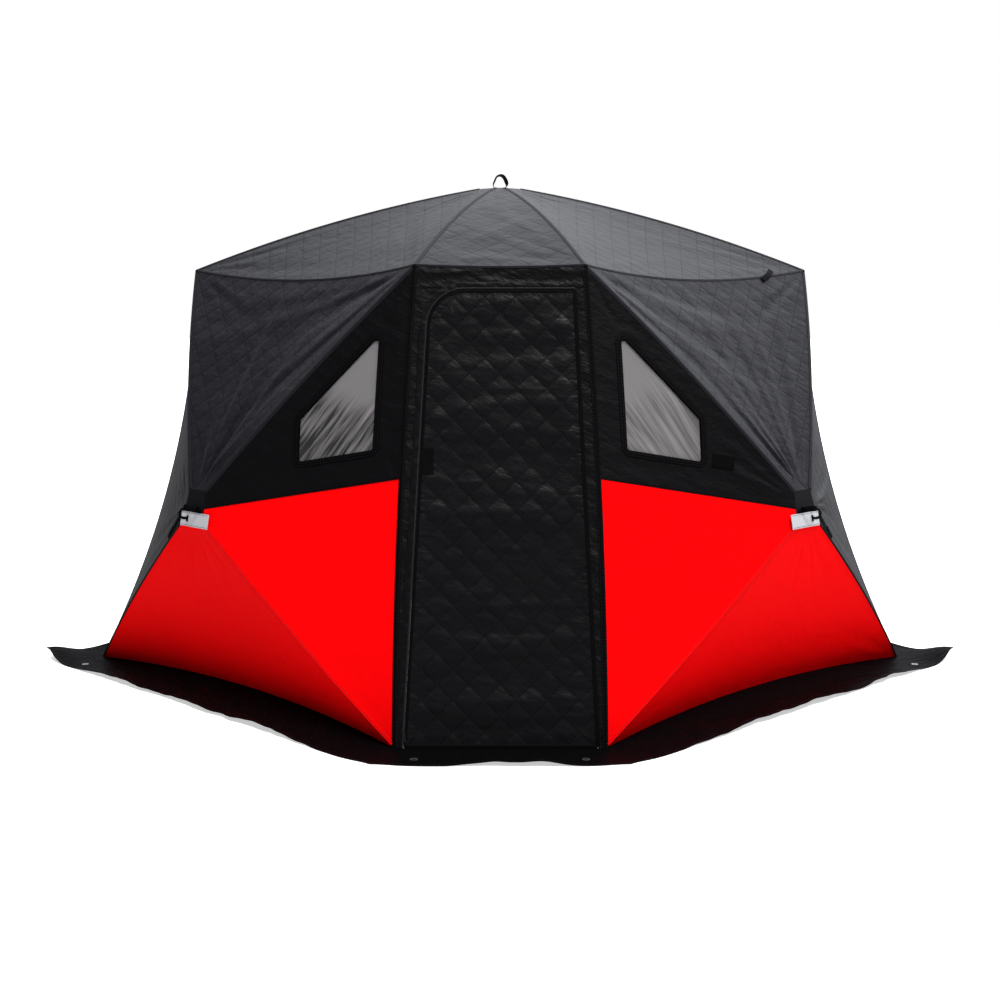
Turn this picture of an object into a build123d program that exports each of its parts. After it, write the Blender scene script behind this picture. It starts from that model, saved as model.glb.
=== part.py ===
from build123d import *
import os

# Pop-up ice shelter: insulated fabric panels stretched over bowed poles that meet at hubs.
# Plan: a square with its front corner cut off by a narrow door wall. Front is -Y, up is +Z.
# Every fabric panel is a four-sided patch whose inner face is the outer face shrunk towards
# one centre on the ground, so neighbouring panels meet face to face along every seam.

# Driving dimensions of the shelter, in millimetres
base_half_diagonal = 1744.0
eave_half_diagonal = 1292.0
door_wall_base_half_width = 368.0
door_wall_eave_half_width = 306.0
eave_height = 1682.0
roof_rise = 354.0
hub_height = 774.0
hub_bulge = 320.0
fabric_thickness = 6.0
vinyl_thickness = 1.2
overrun = 40.0

# How far poles bow and free edges of the fabric pull in or sag
wall_pole_bow = 24.0
roof_bow_share = 0.108
eave_sag = 48.0
eave_pull = 30.0
header_sag = 8.0
corner_pull = 105.0
door_seam_bow = 16.0
hem_lift = 38.0
hem_pull = 55.0
red_seam_height = 930.0

# Skirt that lies on the ice, and its eyelets
skirt_thickness = 4.0
skirt_knee = 60.0
skirt_width = 200.0
eyelet_bore_radius = 6.0
eyelet_barrel_radius = 8.0
eyelet_flange_radius = 14.0
eyelet_flange_thickness = 1.5
eyelet_setback = 75.0
eyelet_clearance = 0.1

# Windows
window_seam_margin = 120.0
window_red_margin = 112.0
window_pole_margin = 92.0
window_reach = 430.0
window_corner_radius = 14.0
window_lap = 24.0

# Door, jambs and the flap that covers the zipper
left_jamb_base = 28.0
left_jamb_top = 52.0
right_jamb_base = 24.0
right_jamb_top = 40.0
header_depth = 88.0
door_corner_radius = 140.0
door_clearance = 5.0
hinge_clearance = 0.3
flap_width = 25.0
flap_thickness = 3.0

# Hubs, poles and corner boots
pole_radius = 5.5
hub_radius = 38.0
hub_thickness = 26.0
hub_rim_radius = 6.0
hub_clearance = 0.3
hub_patch_drop = 17.0
roof_patch_drop = 14.0
socket_radius = 10.0
socket_seat = 32.0
socket_length = 50.0
socket_clearance = 0.4
boot_radius = 15.0
boot_bevel = 5.0
boot_sleeve_radius = 9.0
boot_sleeve_length = 24.0
top_boot_inset = 46.0
base_boot_inset = 82.0
boot_clearance = 4.0

# Pull straps and reflective tabs on the hubs
strap_width = 25.0
strap_thickness = 3.0
strap_span = 64.0
strap_height = 46.0
strap_corner_radius = 20.0
tab_length = 178.0
tab_height = 56.0
tab_thickness = 1.5
tab_drop = 42.0
tab_shift = 15.0
seat_clearance = 0.3

up = Vector(0, 0, 1)
half_share = 0.5
apex_height = eave_height + roof_rise
roof_pole_bow = roof_rise * roof_bow_share


# Curves are quadratic, kept as start, control and end points

def lerp(a, b, share):
    return a + (b - a) * share


def middle(*points):
    return sum(points, Vector(0, 0, 0)) / len(points)


def bowed(a, b, offset=Vector(0, 0, 0)):
    """Curve from a to b whose middle stands off the chord by offset."""
    return [a, middle(a, b) + offset * 2, b]


def point_on(curve, share):
    return lerp(lerp(curve[0], curve[1], share), lerp(curve[1], curve[2], share), share)


def stretch(curve, start, end):
    """The piece of a curve between two shares of it."""
    first = lerp(lerp(curve[0], curve[1], start), lerp(curve[1], curve[2], start), start)
    last = point_on(curve, end)
    control = lerp(lerp(curve[0], curve[1], start), lerp(curve[1], curve[2], start), end)
    return [first, control, last]


def share_at_level(curve, axis, level):
    """Share of the curve where its distance along axis first reaches level."""
    start, control, end = (point.dot(axis) for point in curve)
    square = start - 2 * control + end
    slope = 2 * (control - start)
    rest = start - level
    root = (slope**2 - 4 * square * rest) ** half_share
    shares = [(-slope + root) / (2 * square), (-slope - root) / (2 * square)]
    return min(share for share in shares if 0 <= share <= 1)


# Plan of the shelter. The box round the skirt is centred on the origin.
skirt_front = -(base_half_diagonal - door_wall_base_half_width) - skirt_width
skirt_back = base_half_diagonal + skirt_width * 2**half_share
axis_y = -(skirt_front + skirt_back) / 2
shrink_centre = Vector(0, axis_y, skirt_thickness)


def ring(half_diagonal, door_half_width, z):
    """Corners of the plan at one level, by name."""
    front = axis_y - half_diagonal + door_half_width
    return {
        "front_left": Vector(-door_half_width, front, z),
        "left": Vector(-half_diagonal, axis_y, z),
        "back": Vector(0, axis_y + half_diagonal, z),
        "right": Vector(half_diagonal, axis_y, z),
        "front_right": Vector(door_half_width, front, z),
    }


base = ring(base_half_diagonal, door_wall_base_half_width, skirt_thickness)
eave = ring(eave_half_diagonal, door_wall_eave_half_width, eave_height)
apex = Vector(0, axis_y, apex_height)

# Side between two corners, walking round the plan from the front
sides = {
    "front": ("front_right", "front_left"),
    "left_front": ("front_left", "left"),
    "left_back": ("left", "back"),
    "right_back": ("back", "right"),
    "right_front": ("right", "front_right"),
}
# Hub walls: the corner beside the window, then the corner beside the plain panel
hub_walls = {
    "left_front": ("front_left", "left"),
    "left_back": ("back", "left"),
    "right_back": ("back", "right"),
    "right_front": ("front_right", "right"),
}


def outward(a, b):
    """Unit normal of the wall over side a to b, pointing out of the shelter."""
    normal = (base[b] - base[a]).cross(eave[a] - base[a]).normalized()
    away = middle(base[a], base[b]) - shrink_centre
    return normal if normal.dot(away) > 0 else -normal


def flat(vector):
    return Vector(vector.X, vector.Y, 0).normalized()


door_normal = outward("front_right", "front_left")
door_plane = Plane(
    origin=middle(base["front_left"], base["front_right"]), x_dir=(1, 0, 0), z_dir=door_normal
)
door_wall_rise = (eave["front_left"] - door_plane.origin).dot(door_plane.y_dir)
door_plane_distance = (door_plane.origin - shrink_centre).dot(door_normal)
inner_scale = 1 - fabric_thickness / door_plane_distance
window_scale = inner_scale - vinyl_thickness / door_plane_distance


def corner_seam(corner):
    """Seam from the ground up to the eave: drawn apart at the door wall, pulled in elsewhere."""
    if corner.startswith("front"):
        sideways = door_plane.x_dir if base[corner].X > 0 else -door_plane.x_dir
        return bowed(base[corner], eave[corner], sideways * door_seam_bow)
    inward = -flat(eave[corner] - shrink_centre)
    return bowed(base[corner], eave[corner], inward * corner_pull)


def eave_edge(a, b):
    if {a, b} == {"front_left", "front_right"}:
        return bowed(eave[a], eave[b], -door_plane.y_dir * header_sag)
    return bowed(eave[a], eave[b], -flat(outward(a, b)) * eave_pull - up * eave_sag)


def hem_edge(a, b):
    if {a, b} == {"front_left", "front_right"}:
        return bowed(base[a], base[b])
    return bowed(base[a], base[b], -flat(outward(a, b)) * hem_pull + up * hem_lift)


def roof_ridge(corner):
    """Line of a roof pole, from the eave to the edge of the patch at the apex."""
    ridge = bowed(eave[corner], apex, up * roof_pole_bow)
    return stretch(ridge, 0, share_at_level(ridge, up, apex_height - roof_patch_drop))


# Fabric solids

def shrunk(point, scale):
    return shrink_centre + (point - shrink_centre) * scale


def patch(lower, upper, left, right):
    """Control points of the smooth patch between four edge curves."""
    corners = middle(lower[0], lower[2], upper[0], upper[2])
    centre = middle(lower[1], upper[1]) + middle(left[1], right[1]) - corners
    return [lower, [left[1], centre, right[1]], upper]


def layer(net, outer_scale=1.0, inner=inner_scale):
    """Solid between two shrunk copies of a patch."""
    outer_net = [[shrunk(p, outer_scale) for p in row] for row in net]
    inner_net = [[shrunk(p, inner) for p in row] for row in net]

    def rim(take):
        return Face.make_bezier_surface([take(outer_net), take(inner_net)])

    faces = [
        Face.make_bezier_surface(outer_net),
        Face.make_bezier_surface(inner_net),
        rim(lambda rows: rows[0]),
        rim(lambda rows: rows[-1]),
        rim(lambda rows: [row[0] for row in rows]),
        rim(lambda rows: [row[-1] for row in rows]),
    ]
    return outside_out(Solid(Shell(faces)))


def outside_out(solid):
    return solid if solid.volume > 0 else Solid(-solid.wrapped)


def flat_patch(points):
    """Plate over a flat outline, with the same shrunk inner face as the panels."""
    outer_wire = Wire.make_polygon(points)
    inner_wire = Wire.make_polygon([shrunk(p, inner_scale) for p in points])
    return Solid.make_loft([outer_wire, inner_wire], ruled=True)


# Frame of hubs, poles and corner boots

boot_places = {
    ("eave", c): eave[c] - (eave[c] - shrink_centre).normalized() * top_boot_inset for c in eave
}
base_boot_height = boot_radius + boot_clearance
boot_places.update({
    ("base", c): base[c] - flat(base[c] - shrink_centre) * base_boot_inset + up * base_boot_height
    for c in base
})


def rod(place, radius, length):
    """Round bar that stands on a plane."""
    return place * Cylinder(radius, length, align=(Align.CENTER, Align.CENTER, Align.MIN))


def hub_with_poles(centre, axis, boots, bow_towards, bow):
    """Moulded hub with a socket for each pole, the bowed poles and the planes of their far tips."""
    face = Plane(origin=centre, z_dir=axis)
    hub = face * Cylinder(hub_radius, hub_thickness)
    hub = fillet(hub.edges().filter_by(GeomType.CIRCLE), hub_rim_radius)
    bores = []
    poles = []
    tips = {}
    for key in boots:
        boot = boot_places[key]
        start = centre + (boot - centre).normalized() * socket_seat
        arc = Edge.make_three_point_arc(start, middle(start, boot) + bow_towards * bow, boot)
        arc = arc.trim(0, 1 - boot_radius / arc.length)
        mouth = Plane(origin=start, z_dir=arc.tangent_at(0))
        hub += rod(mouth * Pos(Z=-socket_seat / 2), socket_radius, socket_seat / 2 + socket_length)
        bores.append(rod(mouth, pole_radius + socket_clearance, socket_length + overrun))
        poles.append(sweep(mouth * Circle(pole_radius), arc))
        tips[key] = Plane(origin=arc.position_at(1), z_dir=-arc.tangent_at(1))
    for bore in bores:
        hub -= bore
    return hub, poles, tips


def corner_boot(place, tips):
    """Moulded boot in a corner of the fabric, with a sleeve for the tip of each pole."""
    inward = sum((tip.z_dir for tip in tips), Vector(0, 0, 0)).normalized()
    knob = Cylinder(boot_radius, 2 * boot_radius)
    knob = chamfer(knob.edges().filter_by(GeomType.CIRCLE), boot_bevel)
    boot = Plane(origin=place, x_dir=inward.cross(up), z_dir=inward) * knob
    for tip in tips:
        boot += rod(tip * Pos(Z=-boot_radius), boot_sleeve_radius, boot_radius + boot_sleeve_length)
    for tip in tips:
        boot -= rod(tip, pole_radius + socket_clearance, boot_sleeve_length + overrun)
    return boot


def hub_seat(outer_centre, axis):
    """Centre of a hub that bears on the inside of its fabric patch."""
    depth = (outer_centre - shrink_centre).dot(axis) * (1 - inner_scale)
    return outer_centre - axis * (depth + hub_clearance + hub_thickness / 2)


def pull_strap(seat):
    """Webbing loop standing on the seat plane."""
    inner_radius = strap_corner_radius - strap_thickness
    outside = RectangleRounded(strap_span, strap_height, strap_corner_radius)
    inside = RectangleRounded(
        strap_span - 2 * strap_thickness, strap_height - 2 * strap_thickness, inner_radius
    )
    loop = extrude(outside - inside, strap_width / 2, both=True)
    return seat * Rot(X=90) * Pos(Y=strap_height / 2) * loop


def wall_hub_point(window_corner, plain_corner):
    """Tip of a wall, where its poles meet, pushed out from the flat of the wall."""
    normal = outward(window_corner, plain_corner)
    share = (hub_height - hub_bulge * normal.Z - skirt_thickness) / (eave_height - skirt_thickness)
    low = middle(base[window_corner], base[plain_corner])
    high = middle(eave[window_corner], eave[plain_corner])
    return lerp(low, high, share) + normal * hub_bulge


def window_outline(face, seam_line, red_line, pole_line, grow=0.0):
    """Four-sided window set in from the seam, the red panel and the pole by its margins."""
    def moved(line, margin):
        start, end = (face.to_local_coords(p) for p in line)
        side = Vector(end.X - start.X, end.Y - start.Y).normalized().rotate(Axis.Z, 90)
        inside = face.to_local_coords(middle(*seam_line, *red_line, *pole_line))
        side = side if side.dot(inside - start) > 0 else -side
        return start + side * margin, end + side * margin

    def cross(first, second):
        (a, b), (c, d) = first, second
        u = b - a
        v = d - c
        return a + u * ((c - a).cross(v).Z / u.cross(v).Z)

    seam = moved(seam_line, window_seam_margin - grow)
    end = moved(seam_line, window_reach + grow)
    red = moved(red_line, window_red_margin - grow)
    pole = moved(pole_line, window_pole_margin - grow)
    corners = [cross(seam, pole), cross(seam, red), cross(end, red), cross(end, pole)]
    outline = make_face(Polyline(*[Vector(c.X, c.Y) for c in corners], close=True))
    outline = fillet(outline.vertices(), window_corner_radius)
    return extrude(face * outline, base_half_diagonal / 4, both=True)


def build_wall(window_corner, plain_corner):
    """Panels, window, poles, hub and hub trim of one hub wall."""
    normal = outward(window_corner, plain_corner)
    tip = wall_hub_point(window_corner, plain_corner)
    patch_level = (tip - normal * hub_patch_drop).dot(normal)

    def pole_line(corner):
        line = bowed(corner, tip, normal * wall_pole_bow)
        return stretch(line, 0, share_at_level(line, normal, patch_level))

    window_top = pole_line(eave[window_corner])
    window_base = pole_line(base[window_corner])
    plain_top = pole_line(eave[plain_corner])
    plain_base = pole_line(base[plain_corner])

    seam = corner_seam(window_corner)
    seam_share = (red_seam_height - skirt_thickness) / (eave_height - skirt_thickness)
    red_seam = bowed(point_on(seam, seam_share), middle(window_top[2], window_base[2]))

    nodes = {}
    window_net = patch(
        red_seam,
        window_top,
        stretch(seam, seam_share, 1),
        bowed(red_seam[2], window_top[2]),
    )
    face = Plane(
        origin=red_seam[0],
        x_dir=red_seam[2] - red_seam[0],
        z_dir=(red_seam[2] - red_seam[0]).cross(eave[window_corner] - red_seam[0]),
    )
    lines = (
        (red_seam[0], eave[window_corner]),
        (red_seam[0], red_seam[2]),
        (eave[window_corner], window_top[2]),
    )
    nodes["window_panel"] = layer(window_net) - window_outline(face, *lines)
    nodes["window"] = layer(window_net, inner_scale, window_scale) & window_outline(
        face, *lines, grow=window_lap
    )
    nodes["top_panel"] = layer(patch(
        eave_edge(plain_corner, window_corner),
        bowed(plain_top[2], window_top[2]),
        plain_top,
        window_top,
    ))
    nodes["red_side_panel"] = layer(patch(
        window_base,
        red_seam,
        stretch(seam, 0, seam_share),
        bowed(window_base[2], red_seam[2]),
    ))
    nodes["red_base_panel"] = layer(patch(
        hem_edge(plain_corner, window_corner),
        bowed(plain_base[2], window_base[2]),
        plain_base,
        window_base,
    ))
    nodes["plain_panel"] = layer(patch(
        plain_base,
        plain_top,
        corner_seam(plain_corner),
        bowed(plain_base[2], plain_top[2]),
    ))
    nodes["hub_patch"] = flat_patch([window_top[2], window_base[2], plain_base[2], plain_top[2]])

    patch_centre = tip - normal * hub_patch_drop
    boots = [(level, corner) for corner in (window_corner, plain_corner) for level in ("eave", "base")]
    hub, poles, tips = hub_with_poles(
        hub_seat(patch_centre, normal), normal, boots, normal, wall_pole_bow
    )
    nodes["hub"] = hub
    nodes["poles"] = Compound(poles)

    sideways = up.cross(normal).normalized()
    seat = Plane(origin=patch_centre + normal * seat_clearance, x_dir=sideways, z_dir=normal)
    to_window = 1 if (base[window_corner] - base[plain_corner]).dot(sideways) > 0 else -1
    nodes["pull_strap"] = pull_strap(seat)
    nodes["reflective_tab"] = seat * Pos(to_window * tab_shift, -tab_drop) * Box(
        tab_length, tab_height, tab_thickness, align=(Align.CENTER, Align.CENTER, Align.MIN)
    )
    return nodes, tips


middle_of_border = (skirt_knee + skirt_width) / 2


def build_skirt(a, b, eyelets):
    """Skirt along one side: a fall from the wall's hem to the ice, then a flat border."""
    def corner_at(corner, offset):
        neighbours = [side for side in sides.values() if corner in side]
        first, second = (flat(outward(*side)) for side in neighbours)
        return base[corner] + (first + second) * (offset / (1 + first.dot(second)))

    knee = bowed(corner_at(a, skirt_knee), corner_at(b, skirt_knee))
    top = [hem_edge(a, b), knee]
    bottom = [[p - up * skirt_thickness for p in row] for row in top]
    ends = [[[row[i] for row in top], [row[i] for row in bottom]] for i in (0, -1)]
    nets = [top, bottom, [top[0], bottom[0]], [top[1], bottom[1]], *ends]
    fall = outside_out(Solid(Shell([Face.make_bezier_surface(net) for net in nets])))
    border_points = [
        knee[0], knee[2], corner_at(b, skirt_width), corner_at(a, skirt_width)
    ]
    border = extrude(Face(Wire.make_polygon(border_points)), skirt_thickness, dir=-up)
    skirt = fall + border
    out = flat(outward(a, b))
    along = (base[b] - base[a]).normalized()
    rings = []
    for corner in eyelets:
        step = along if corner == a else -along
        place = base[corner] + out * middle_of_border + step * eyelet_setback
        skirt -= Pos(place) * Cylinder(
            eyelet_barrel_radius + eyelet_clearance, 2 * overrun
        )
        rings.append(eyelet(place))
    return skirt, rings


def eyelet(place):
    """Pressed eyelet: a barrel through the skirt with a flange on its upper face."""
    top = Pos(place)
    barrel = top * Cylinder(
        eyelet_barrel_radius, skirt_thickness, align=(Align.CENTER, Align.CENTER, Align.MAX)
    )
    flange = top * Cylinder(
        eyelet_flange_radius, eyelet_flange_thickness, align=(Align.CENTER, Align.CENTER, Align.MIN)
    )
    return barrel + flange - top * Cylinder(eyelet_bore_radius, 2 * overrun)


def build_door_wall():
    """Jambs and header round the doorway, the door and the flap over its zipper."""
    wall = layer(patch(
        hem_edge("front_left", "front_right"),
        eave_edge("front_left", "front_right"),
        corner_seam("front_left"),
        corner_seam("front_right"),
    ))
    top = door_wall_rise - header_depth
    lean = (door_wall_base_half_width - door_wall_eave_half_width) / door_wall_rise

    def left_edge(y, inset=0.0):
        jamb = left_jamb_base + (left_jamb_top - left_jamb_base) * y / top
        return -(door_wall_base_half_width - lean * y) + jamb + inset

    def right_edge(y, inset=0.0):
        jamb = right_jamb_base + (right_jamb_top - right_jamb_base) * y / top
        return door_wall_base_half_width - lean * y - jamb - inset

    def doorway(inset, low, sewn_inset, reach=0.0):
        """Outline with its top left corner rounded. Reach carries it on past the sewn side."""
        high = top - inset
        outline = make_face(Polyline(
            (left_edge(low, inset), low),
            (right_edge(low, sewn_inset) + reach, low),
            (right_edge(high, sewn_inset) + reach, high),
            (left_edge(high, inset), high),
            close=True,
        ))
        corner = outline.vertices().sort_by(Axis.Y)[-2:].sort_by(Axis.X)[0]
        return fillet(corner, door_corner_radius - inset)

    opening = door_plane * doorway(0.0, -overrun, 0.0)
    frame = wall - extrude(opening, overrun, both=True)
    above = door_plane * Pos(Y=top) * Rectangle(
        4 * base_half_diagonal, base_half_diagonal, align=(Align.CENTER, Align.MIN)
    )
    above = extrude(above, base_half_diagonal / 4, both=True)
    beside = frame - above
    jambs = beside.solids().sort_by(Axis.X)

    door = extrude(
        door_plane * doorway(door_clearance, door_clearance, hinge_clearance), -fabric_thickness
    )
    flap = doorway(-flap_width, 0.0, -flap_width) - doorway(0.0, -overrun, 0.0, base_half_diagonal)
    flap_face = flap.faces().sort_by(SortBy.AREA)[-1]
    hinge = (
        door_plane.from_local_coords(Vector(right_edge(0.0, hinge_clearance / 2), 0)),
        door_plane.from_local_coords(Vector(right_edge(top, hinge_clearance / 2), top)),
    )
    return {
        "door_header": frame & above,
        "door_left_jamb": jambs[0],
        "door_right_jamb": jambs[-1],
        "door": door,
        "door_zipper_flap": extrude(door_plane * flap_face, flap_thickness),
    }, hinge


def build_roof():
    """Roof panels, the patch at the apex, the roof hub and its poles."""
    ridges = {corner: roof_ridge(corner) for corner in eave}
    nodes = {}
    for side, (a, b) in sides.items():
        nodes["roof_" + side + "_panel"] = layer(patch(
            eave_edge(a, b), bowed(ridges[a][2], ridges[b][2]), ridges[a], ridges[b]
        ))
    crown = [ridges[corner][2] for corner in ridges]
    patch_centre = apex - up * roof_patch_drop
    boots = [("eave", corner) for corner in eave]
    hub, poles, tips = hub_with_poles(hub_seat(patch_centre, up), up, boots, up, roof_pole_bow)
    nodes["roof_hub"] = hub
    nodes["roof_poles"] = Compound(poles)
    seat = Plane(origin=patch_centre + up * seat_clearance, x_dir=(1, 0, 0), z_dir=up)
    return nodes, flat_patch(crown), pull_strap(seat), tips


def build_shelter():
    nodes, hinge = build_door_wall()
    roof, crown_patch, crown_strap, roof_tips = build_roof()
    nodes.update(roof)
    boot_tips = {key: [roof_tips[key]] if key in roof_tips else [] for key in boot_places}
    shared = {
        "hub_patch": ("hub_patches", [crown_patch]),
        "pull_strap": ("pull_straps", [crown_strap]),
        "reflective_tab": ("reflective_tabs", []),
        "window": ("windows", []),
        "hub": ("wall_hubs", []),
        "poles": ("wall_poles", []),
    }
    for name, corners in hub_walls.items():
        wall, tips = build_wall(*corners)
        for key, tip in tips.items():
            boot_tips[key].append(tip)
        for piece, (node, solids) in shared.items():
            solids += wall.pop(piece).solids()
        nodes.update({name + "_" + node: solid for node, solid in wall.items()})
    nodes.update({node: Compound(solids) for node, solids in shared.values()})
    boots = [corner_boot(place, boot_tips[key]) for key, place in boot_places.items()]
    nodes["corner_boots"] = Compound(boots)
    eyelet_corners = {
        "front": ("front_left", "front_right"),
        "left_front": ("left",),
        "right_front": ("right",),
        "left_back": ("back",),
        "right_back": ("back",),
    }
    rings = []
    for side, (a, b) in sides.items():
        nodes["skirt_" + side], found = build_skirt(a, b, eyelet_corners[side])
        rings += found
    nodes["skirt_eyelets"] = Compound(rings)
    return nodes, hinge, rings


shelter, door_hinge, eyelet_rings = build_shelter()
os.makedirs("parts", exist_ok=True)
for node, shape in shelter.items():
    export_step(shape, "parts/" + node + ".step")
print("door hinge", *door_hinge)
for ring_solid in eyelet_rings:
    print("eyelet", ring_solid.bounding_box().center())
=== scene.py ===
"""Looks of a pop-up ice fishing hut: insulated fabric panels stretched over poles and hubs."""

import logging
import math
from dataclasses import dataclass, field
from enum import Enum
from typing import Sequence

import bpy
import numpy as np
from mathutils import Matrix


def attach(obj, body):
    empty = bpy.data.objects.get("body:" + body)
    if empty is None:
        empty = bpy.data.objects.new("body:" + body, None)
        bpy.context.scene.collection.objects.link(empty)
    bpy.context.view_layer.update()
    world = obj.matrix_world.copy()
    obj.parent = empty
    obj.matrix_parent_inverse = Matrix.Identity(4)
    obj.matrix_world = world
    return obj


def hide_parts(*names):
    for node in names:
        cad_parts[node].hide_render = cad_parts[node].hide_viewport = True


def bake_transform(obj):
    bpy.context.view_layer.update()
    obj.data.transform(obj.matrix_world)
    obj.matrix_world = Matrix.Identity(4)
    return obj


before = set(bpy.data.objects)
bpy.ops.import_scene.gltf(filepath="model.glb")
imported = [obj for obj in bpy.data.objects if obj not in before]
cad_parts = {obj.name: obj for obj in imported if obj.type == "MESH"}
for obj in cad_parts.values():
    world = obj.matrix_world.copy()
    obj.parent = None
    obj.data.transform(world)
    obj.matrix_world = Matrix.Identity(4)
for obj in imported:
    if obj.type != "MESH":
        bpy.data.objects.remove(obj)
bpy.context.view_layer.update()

log = logging.getLogger("ice_hut")

Array = np.ndarray
Object = bpy.types.Object
Material = bpy.types.Material
Socket = bpy.types.NodeSocket
Triple = tuple[float, float, float]
MeshParts = tuple[Array, Array, Array]

UP = np.array([0.0, 0.0, 1.0])
LEVEL = np.array([1.0, 1.0, 0.0])
ENDS = np.array([-1.0, 1.0])
MIDDLE = np.full(1, 0.5)

# Search for the places of a patch over given spots
FIRST_GUESS = 0.4
FIND_ROUNDS = 30
FIND_MARGIN = 0.3

# Cut panels: margin round a panel's span, and the least share of that rectangle that it fills
CUT_ALLOWANCE = 1.01
LEAST_AREA_SHARE = 0.31

# Fullness of the quilted diamonds
PUFF_POWER = 0.42


# Curves, patches and noise


def unit(vectors: Array) -> Array:
    """Vectors scaled to length one."""
    length = np.linalg.norm(vectors, axis=-1, keepdims=True)
    return vectors / np.maximum(length, 1e-9)


def smooth(value: Array, start: float, end: float) -> Array:
    """Eases from 0 at start to 1 at end."""
    share = np.clip((value - start) / (end - start), 0.0, 1.0)
    return share * share * (3 - 2 * share)


def bowed(a: Array, b: Array, offset: Array | float = 0.0) -> Array:
    """Quadratic curve from a to b whose middle stands off the chord by offset."""
    return np.array([a, (a + b) / 2 + 2 * np.asarray(offset), b])


def point_on(curve: Array, share: Array | float) -> Array:
    """Points of a quadratic curve at one share or several."""
    t = np.asarray(share, float)[..., None]
    return curve[0] * (1 - t) ** 2 + curve[1] * 2 * t * (1 - t) + curve[2] * t**2


def stretch(curve: Array, start: float, end: float) -> Array:
    """The piece of a curve between two shares of it."""
    first = curve[0] + (curve[1] - curve[0]) * start
    second = curve[1] + (curve[2] - curve[1]) * start
    return np.array([point_on(curve, start), first + (second - first) * end, point_on(curve, end)])


def share_at_level(curve: Array, axis: Array, level: float) -> float:
    """Share of the curve where its distance along axis first reaches level."""
    start, control, end = curve @ axis
    roots = np.roots([start - 2 * control + end, 2 * (control - start), start - level])
    return float(min(r.real for r in roots if 0 <= r.real <= 1))


def patch(lower: Array, upper: Array, left: Array, right: Array) -> Array:
    """Control points, row by row, of the smooth patch between four edge curves."""
    corners = (lower[0] + lower[2] + upper[0] + upper[2]) / 4
    centre = (lower[1] + upper[1]) / 2 + (left[1] + right[1]) / 2 - corners
    return np.array([lower, [left[1], centre, right[1]], upper])


def weights(t: Array) -> Array:
    """Quadratic blending weights at t, as the last axis."""
    return np.stack([(1 - t) ** 2, 2 * t * (1 - t), t**2], axis=-1)


def slopes(t: Array) -> Array:
    """Derivatives of the blending weights at t."""
    return np.stack([-2 * (1 - t), 2 - 4 * t, 2 * t], axis=-1)


@dataclass
class Patch:
    """Smooth fabric surface over four edges, seen from a centre inside the hut."""

    net: Array
    centre: Array

    def at(self, u: Array, v: Array) -> Array:
        """Points at u across and v up."""
        return np.einsum("...i,...j,ijk->...k", weights(v), weights(u), self.net)

    def along_u(self, u: Array, v: Array) -> Array:
        """Derivative across."""
        return np.einsum("...i,...j,ijk->...k", weights(v), slopes(u), self.net)

    def along_v(self, u: Array, v: Array) -> Array:
        """Derivative upwards."""
        return np.einsum("...i,...j,ijk->...k", slopes(v), weights(u), self.net)

    def either_normal(self, u: Array, v: Array) -> Array:
        """Unit normals that all point in or all point out."""
        return unit(np.cross(self.along_u(u, v), self.along_v(u, v)))

    def normal(self, u: Array, v: Array) -> Array:
        """Unit normals that point out of the hut."""
        outside = np.sum((self.at(MIDDLE, MIDDLE) - self.centre) * self.either_normal(MIDDLE, MIDDLE))
        return self.either_normal(u, v) * np.sign(outside)

    def axes(self) -> tuple[Array, Array]:
        """Level axis and uphill axis of the patch's mean plane."""
        normal = self.normal(MIDDLE, MIDDLE)[0]
        level = unit(np.cross(UP, normal))
        return level, np.cross(normal, level)

    def find(self, targets: Array, level: Array, uphill: Array, origin: Array) -> tuple[Array, Array]:
        """u and v of the points that stand at targets in a plane's own coordinates.

        Args:
            targets: Rows of two coordinates.
            level: First axis of the plane.
            uphill: Second axis of the plane.
            origin: Origin of the plane.

        Returns:
            The u and the v of each target.
        """
        u, v = np.full((2, len(targets)), FIRST_GUESS)
        plane = np.stack([level, uphill], axis=1)
        for _ in range(FIND_ROUNDS):
            miss = (self.at(u, v) - origin) @ plane - targets
            jacobian = np.stack([self.along_u(u, v) @ plane, self.along_v(u, v) @ plane], axis=-1)
            step = np.linalg.solve(jacobian, miss[..., None])[..., 0]
            u, v = (np.clip(old - move, -FIND_MARGIN, 1 + FIND_MARGIN) for old, move in zip((u, v), step.T))
        return u, v


class EdgeSide(Enum):
    """Edge of a patch."""

    LOWER = "lower"
    UPPER = "upper"
    LEFT = "left"
    RIGHT = "right"


@dataclass
class EdgeFrame:
    """Points along an edge with the way into the fabric and the way out of the hut."""

    points: Array
    inward: Array
    normal: Array

    @classmethod
    def of(cls, surface: Patch, side: EdgeSide, shares: Array) -> "EdgeFrame":
        """Frame along one edge of a patch.

        Args:
            surface: The patch.
            side: Which edge.
            shares: Places along the edge, from 0 to 1.

        Returns:
            The frame at those places.
        """
        fixed = np.zeros_like(shares) if side in (EdgeSide.LOWER, EdgeSide.LEFT) else np.ones_like(shares)
        across = side in (EdgeSide.LOWER, EdgeSide.UPPER)
        u, v = (shares, fixed) if across else (fixed, shares)
        tangent = unit(surface.along_u(u, v) if across else surface.along_v(u, v))
        inward = surface.along_v(u, v) if across else surface.along_u(u, v)
        if side in (EdgeSide.UPPER, EdgeSide.RIGHT):
            inward = -inward
        inward = unit(inward - tangent * np.sum(inward * tangent, axis=-1, keepdims=True))
        return cls(surface.at(u, v), inward, surface.normal(u, v))

    def over(self, inward: float, lift: float) -> Array:
        """Points at a distance into the fabric and a height over it."""
        return self.points + self.inward * inward + self.normal * lift


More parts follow.
